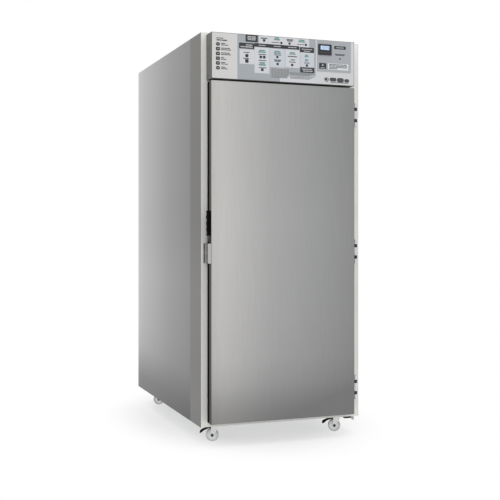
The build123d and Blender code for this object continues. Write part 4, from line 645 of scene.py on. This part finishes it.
for place, lit in enumerate(("abcdfg", "abged", "abcdefg")):
    x, z = window_x - 12.5 * MM + digit_pitch * place, window_z + 1.2 * MM
    for code, dx, dz, w, h in (("a", 0, 6, 4.2, 0.9), ("g", 0, 0, 4.2, 0.9), ("d", 0, -6, 4.2, 0.9),
                               ("b", 2.6, 3, 0.9, 5), ("c", 2.6, -3, 0.9, 5),
                               ("f", -2.6, 3, 0.9, 5), ("e", -2.6, -3, 0.9, 5)):
        if code in lit:
            segments.append((x + dx * MM, z + dz * MM, w * MM, h * MM, 0.3 * MM))
for drop, width in ((-4, 8), (0, 8), (4, 6)):
    segments.append((window_x + 16.5 * MM, window_z - drop * MM, width * MM, 1.6 * MM, 0.4 * MM))
plates("display_segments", segments, panel_y - 0.1 * MM, panel_y,
       ink("segments", (0.05, 0.07, 0.12)))


# ---- screws, nuts and pin caps ---------------------------------------------------------
# Button-head screws hold the hinge leaves, the latch box and the back skin, and turned
# caps close the ends of the hinge pins.
def hexagonal(angle):
    """How far out a hexagon's edge lies at an angle, for a corner at distance one."""
    return math.cos(math.pi / 6) / math.cos(angle % (math.pi / 3) - math.pi / 6)


def turned(name, profile, places, along, material, body, closed=False, sides=36):
    """Turned pieces.  The profile is (radius, distance along the axis) pairs in millimetres,
    and a ring whose entry ends with a third number is a hexagon."""
    made = bmesh.new()
    along = Vector(along).normalized()
    aside = along.orthogonal().normalized()
    across = along.cross(aside)
    for place in places:
        rings = []
        for radius, distance, *six in profile:
            middle = Vector(place) + along * distance * MM
            ring = []
            for i in range(sides if radius > 0 else 1):
                angle = 2 * math.pi * i / sides
                reach = radius * MM * (hexagonal(angle) if six else 1)
                ring.append(made.verts.new(middle + reach * (math.cos(angle) * aside
                                                             + math.sin(angle) * across)))
            rings.append(ring)
        for first, second in zip(rings, rings[1:] + (rings[:1] if closed else [])):
            for i in range(sides):
                j = (i + 1) % sides
                corners = [first[i % len(first)], first[j % len(first)],
                           second[j % len(second)], second[i % len(second)]]
                made.faces.new(list(dict.fromkeys(corners)))
    return finished(name, made, material, body)


def button_screws(name, places, along, body, radius=3.2):
    """Low domed heads, each with a six-sided socket."""
    socket = 0.5 * radius
    turned(name, [
        (0, 0.5), (socket, 0.5, 6), (socket, 1.4, 6), (0.7 * radius, 1.4),
        (0.93 * radius, 0.9), (radius, 0), (radius, -0.2), (0, -0.2)],
        places, along, screw_steel, body, sides=24)


screw_steel = plated("screw_steel", (0.42, 0.42, 0.41), 0.35)
hinge_record = [joint for joint in frame["joints"] if joint["name"] == "door_hinge"][0]
hinge_x, hinge_y, middle_hinge_z = hinge_record["pos_m"]
leaf_low, leaf_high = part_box("hinge_frame_halves")
half_hinge = 57 * MM
hinge_heights = (leaf_low.z + half_hinge, middle_hinge_z, leaf_high.z - half_hinge)
leaf_face = frame_y - 3 * MM
button_screws("hinge_leaf_screws", [
    (hinge_x + side * 12.8 * MM, leaf_face, z + rise * MM) for z in hinge_heights
    for side in (-1, 1) for rise in (-45, -15, 15, 45)], (0, -1, 0), "cabinet")
door_leaf_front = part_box("hinge_door_halves")[0].y
door_leaf_face = door_right + 3 * MM
button_screws("hinge_door_screws", [
    (door_leaf_face, door_leaf_front + inset * MM, z + rise * MM) for z in hinge_heights
    for inset in (8, 30) for rise in (-45, 45)], (1, 0, 0), "door")
pin_cap = [(0, 1.8), (4.5, 1.6), (6.6, 0.9), (7.2, 0), (7.2, -0.4), (0, -0.4)]
for end, up in (("top", 1), ("bottom", -1)):
    turned("hinge_pin_caps_" + end, pin_cap,
           [(hinge_x, hinge_y, z + up * half_hinge) for z in hinge_heights], (0, 0, up), zinc,
           "cabinet")
latch_low, latch_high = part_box("latch_housing")
latch_y = (latch_low.y + latch_high.y) / 2
button_screws("latch_screws", [
    (latch_low.x, latch_y + shift * MM, latch_low.z + rise * MM)
    for shift, rise in ((-12, 12), (12, 12), (0, 46))], (-1, 0, 0), "door", 2.6)
back_low, back_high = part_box("back_skin")
back_places = [(side * (back_high.x - 14 * MM), back_high.y, back_low.z + (30 + 255 * i) * MM)
               for side in (-1, 1) for i in range(8)]
back_places += [(back_low.x + (140 + 135 * i) * MM, back_high.y, z) for i in range(5)
                for z in (back_low.z + 14 * MM, back_high.z - 14 * MM)]
button_screws("back_skin_screws", back_places, (0, 1, 0), "cabinet", 4.2)


# ---- roof ------------------------------------------------------------------------------
# The steel roof cover is pressed down inside a narrow raised border, which stiffens it,
# and is screwed down inside that border.
def pressed(name, low, high, axis, border, slope, sink, material, body):
    """A sheet across one axis, pressed in by sink inside a border on its upper side."""
    spans = [i for i in range(3) if i != axis]
    edge = 0.4 * MM
    made = bmesh.new()
    loops = []
    for inset, level in ((0, low[axis]), (0, high[axis] - edge), (edge, high[axis]),
                         (border, high[axis]), (border + slope, high[axis] - sink)):
        loop = []
        for u, v in ((0, 0), (1, 0), (1, 1), (0, 1)):
            spot = [0, 0, 0]
            for span, end in zip(spans, (u, v)):
                spot[span] = (high if end else low)[span] + (-inset if end else inset)
            spot[axis] = level
            loop.append(made.verts.new(spot))
        loops.append(loop)
    for first, second in zip(loops, loops[1:]):
        bridge(made, first, second)
    made.faces.new(loops[-1])
    made.faces.new(loops[0][::-1])
    return finished(name, made, material, body)


roof_low, roof_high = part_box("roof_cover")
seam = Vector((0.4 * MM, 0.4 * MM, 0))
roof_low += seam
roof_high -= seam
roof_low.z = roof_high.z - 2.5 * MM
roof_sheet = pressed("roof_sheet", roof_low, roof_high, 2, 14 * MM, 4 * MM, 1.1 * MM,
                     roof_steel, "cabinet")
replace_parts(roof_sheet, "roof_cover")
screw_inset = 28 * MM
screw_z = roof_high.z - 1.4 * MM
roof_places = [(side * (roof_high.x - screw_inset), roof_low.y + (60 + 225 * i) * MM, screw_z)
               for side in (-1, 1) for i in range(6)]
roof_places += [(side * 130 * MM, y, screw_z) for side in (-1, 1)
                for y in (roof_low.y + screw_inset, roof_high.y - screw_inset)]
button_screws("roof_screws", roof_places, (0, 0, 1), "cabinet", 4.2)


# ---- door seal and inner sheet ---------------------------------------------------------
# Extruded rubber bellows with two folds, mitred and welded at the corners and pushed on
# to the back of the door, round a steel inner sheet with a pressed centre.
gasket_low, gasket_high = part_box("door_gasket")
fold = [(0, 0), (0, 2), (3, 2.5), (1.1, 4.1), (3, 5.5), (1.4, 7.5), (3.6, 9.7), (12.4, 9.7),
        (14.6, 7.5), (13, 5.5), (14.9, 4.1), (13, 2.5), (16, 2), (16, 0)]
seal = bmesh.new()
corners = []
for right, up in ((0, 0), (1, 0), (1, 1), (0, 1)):
    corner_x = (gasket_high if right else gasket_low).x
    corner_z = (gasket_high if up else gasket_low).z
    corners.append([seal.verts.new((corner_x + (-u if right else u) * MM,
                                    gasket_low.y + out * MM,
                                    corner_z + (-u if up else u) * MM)) for u, out in fold])
for here, after in zip(corners, corners[1:] + corners[:1]):
    bridge(seal, here, after)
seal_rubber = moulded("seal_rubber", (0.022, 0.021, 0.02), 0.65, shine=0.25)
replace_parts(finished("door_seal", seal, seal_rubber, "door"), "door_gasket")
inner_sheet = pressed("door_inner_sheet", *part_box("door_inner_liner"), 1, 50 * MM, 6 * MM,
                      0.9 * MM, liner_steel, "door")
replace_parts(inner_sheet, "door_inner_liner")


# ---- latch grip ------------------------------------------------------------------------
# The grip is moulded in black plastic over the end of the lever, with four finger hollows
# on its outer side and fine ribs all the way up.
grip_low, grip_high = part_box("latch_grip")
grip_height = grip_high.z - grip_low.z
grip_levels, levels_per_rib = 116, 4
end_radius, hollow_depth, rib_depth = 3 * MM, 2.6 * MM, 0.5 * MM
finger_hollows = 4
grip = bmesh.new()
rings = []
for level in range(grip_levels + 1):
    t = level / grip_levels
    from_end = min(t, 1 - t) * grip_height
    past = 1 - min(from_end, end_radius) / end_radius
    shrink = end_radius * (1 - math.sqrt(1 - past ** 2))
    hollow = hollow_depth * (0.5 - 0.5 * math.cos(2 * math.pi * finger_hollows * t))
    rib = rib_depth if level % levels_per_rib < levels_per_rib / 2 else 0
    low_x, high_x = grip_low.x + shrink + rib + hollow, grip_high.x - shrink - rib
    low_y, high_y = grip_low.y + shrink + hollow / 2, grip_high.y - shrink
    middle_x, middle_y = (low_x + high_x) / 2, (low_y + high_y) / 2
    rings.append([grip.verts.new((middle_x + a, middle_y + b, grip_low.z + t * grip_height))
                  for a, b in outline(high_x - low_x, high_y - low_y, 3.5 * MM, 5)])
for lower, upper in zip(rings, rings[1:]):
    bridge(grip, lower, upper)
grip.faces.new(rings[0])
grip.faces.new(rings[-1])
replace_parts(finished("latch_handle", grip, black_plastic, "latch"), "latch_grip")


# ---- caster wheels and axle nuts -------------------------------------------------------
# Each wheel is a pale moulded centre with a soft grey tyre on its rim, held on a bolt
# with a hexagon nut on either side of the fork.
tyre = [(24.2, -9.6), (26.4, -11), (28.6, -10.7), (30.3, -9.4), (31, -7.2), (31, -1),
        (30.6, -0.6), (30.6, 0.6), (31, 1), (31, 7.2), (30.3, 9.4), (28.6, 10.7), (26.4, 11),
        (24.2, 9.6)]
centre = [(4.1, -12.5), (9, -12.5), (9.8, -11.8), (10.4, -7.6), (13, -6.2), (21, -6.2),
          (22.4, -9.2), (24.2, -9.6), (24.2, 9.6), (22.4, 9.2), (21, 6.2), (13, 6.2),
          (10.4, 7.6), (9.8, 11.8), (9, 12.5), (4.1, 12.5)]
nut = [(0, 6.4), (2.6, 6.4), (3, 6), (3, 4.6), (6.4, 4.6), (7.6, 4.2, 6), (7.6, 0, 6), (0, 0)]
tyre_grey = moulded("tyre_grey", (0.56, 0.58, 0.585), 0.4, 0.05)
wheel_white = moulded("wheel_white", (0.80, 0.81, 0.81), 0.3, 0.03)
fork_half = 15.5 * MM
for joint in frame["joints"]:
    if joint["name"].startswith("wheel_roll_"):
        corner = joint["name"][len("wheel_roll_"):]
        axle, hub = Vector(joint["axis"]).normalized(), Vector(joint["pos_m"])
        for part, profile, finish in (("tyre", tyre, tyre_grey), ("centre", centre, wheel_white)):
            piece = turned("wheel_%s_%s" % (part, corner), profile, [hub], axle, finish,
                           "wheel_" + corner, True, 64)
            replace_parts(piece, "caster_wheel_" + corner)
            for polygon in piece.data.polygons:
                polygon.use_smooth = True
        for side, letter in ((-1, "a"), (1, "b")):
            turned("axle_nut_%s_%s" % (corner, letter), nut,
                   [hub + axle * side * fork_half], axle * side, dark_steel, "caster_" + corner)


# ---- fan guards and rack tabs ----------------------------------------------------------
# Welded wire guards stand over the two circulation fans.  Pressed tabs hook every tray
# runner on its uprights.  The uprights are not cut through for slots: thin black plates
# stand for them, painted shade where the holes would be.
duct_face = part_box("air_duct_panel")[0].y
wire = 1.2
ring_section = [(wire * math.cos(math.pi * i / 4), wire * math.sin(math.pi * i / 4))
                for i in range(8)]
for side in ("left", "right"):
    blades_low, blades_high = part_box("circulation_fan_blades_" + side)
    fan_x = (blades_low.x + blades_high.x) / 2
    fan_z = (blades_low.z + blades_high.z) / 2
    for ring_radius in (22, 44, 66, 88):
        turned("fan_guard_ring_%s_%d" % (side, ring_radius),
               [(ring_radius + out, back) for out, back in ring_section],
               [(fan_x, duct_face - 3.6 * MM, fan_z)], (0, 1, 0), screw_steel, "cabinet", True, 56)
    for spoke in range(4):
        angle = math.pi * (spoke + 0.5) / 4
        turned("fan_guard_wire_%s_%d" % (side, spoke),
               [(0, -98), (wire, -97.6), (wire, 97.6), (0, 98)],
               [(fan_x, duct_face - 1.4 * MM, fan_z)], (math.cos(angle), 0, math.sin(angle)),
               screw_steel, "cabinet", sides=10)


def pressings(name, boxes, material, body):
    """Small plates with a chamfer on each edge: (low corner, high corner)."""
    made = bmesh.new()
    for low, high in boxes:
        size = [high[i] - low[i] for i in range(3)]
        cube = bmesh.ops.create_cube(made, size=1)["verts"]
        for vertex in cube:
            vertex.co = [low[i] + size[i] * (vertex.co[i] + 0.5) for i in range(3)]
    bmesh.ops.bevel(made, geom=list(made.edges), offset=0.4 * MM, segments=1, affect="EDGES")
    return finished(name, made, material, body)


runner_low, runner_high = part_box("tray_runners")
post_low, post_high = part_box("rack_uprights")
post_inner = post_high.x - 15 * MM
first_runner, tray_pitch = runner_low.z + 18 * MM, 68 * MM
tab_half, slot_half = 6 * MM, 2 * MM
tabs, slots = [], []
for i in range(round((runner_high.z - first_runner) / tray_pitch) + 1):
    top = first_runner + tray_pitch * i
    for side in (-1, 1):
        for y in (post_low.y + 12.5 * MM, post_high.y - 12.5 * MM):
            x0, x1 = sorted((side * (post_inner - 3.5 * MM), side * (post_inner - 1.5 * MM)))
            tabs.append(((x0, y - tab_half, top - 26 * MM), (x1, y + tab_half, top - 4 * MM)))
            x0, x1 = sorted((side * post_inner, side * (post_inner - 0.3 * MM)))
            slots.append(((x0, y - slot_half, top + 12 * MM), (x1, y + slot_half, top + 34 * MM)))
pressings("runner_tabs", tabs, liner_steel, "cabinet")
# Thin black plates stand for the slots in the uprights, painted shade where holes would be.
pressings("upright_slot_shade_plates", slots, black_plastic, "cabinet")


# ---- cable gland and drain hose end ----------------------------------------------------
# A nylon gland with a hexagon body and a domed clamping nut, and ridges rolled on the
# drain tube that keep a hose on.
gland_low, gland_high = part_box("cable_gland")
gland_place = ((gland_low.x + gland_high.x) / 2, back_high.y, (gland_low.z + gland_high.z) / 2)
body_radius = (gland_high.x - gland_low.x) / 2 / MM
nut_radius = body_radius * 0.9
reach_back = (gland_high.y - back_high.y) / MM
gland_profile = [
    (5, -4), (5, reach_back), (7.4, reach_back), (9.2, reach_back - 1.2),
    (10, reach_back - 3.4), (10, reach_back - 5), (nut_radius, reach_back - 5.4, 6),
    (nut_radius, 8, 6), (8.5, 7.6), (8.5, 6.2), (body_radius, 5.8, 6),
    (body_radius, 0, 6), (8.5, -0.2), (8.5, -4)]
gland = turned("gland_nut", gland_profile, [gland_place], (0, 1, 0), black_plastic,
               "cabinet", True, 48)
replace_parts(gland, "cable_gland")
drain_low, drain_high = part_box("drain_spigot")
drain_x, drain_z = (drain_low.x + drain_high.x) / 2, (drain_low.z + drain_high.z) / 2
turned("drain_ridges", [(7.9, 0), (7.9, 5.5), (9.4, 0.8), (9.4, 0)],
       [(drain_x, back_high.y + (8 + 7 * i) * MM, drain_z) for i in range(3)], (0, 1, 0),
       liner_steel, "cabinet", True)
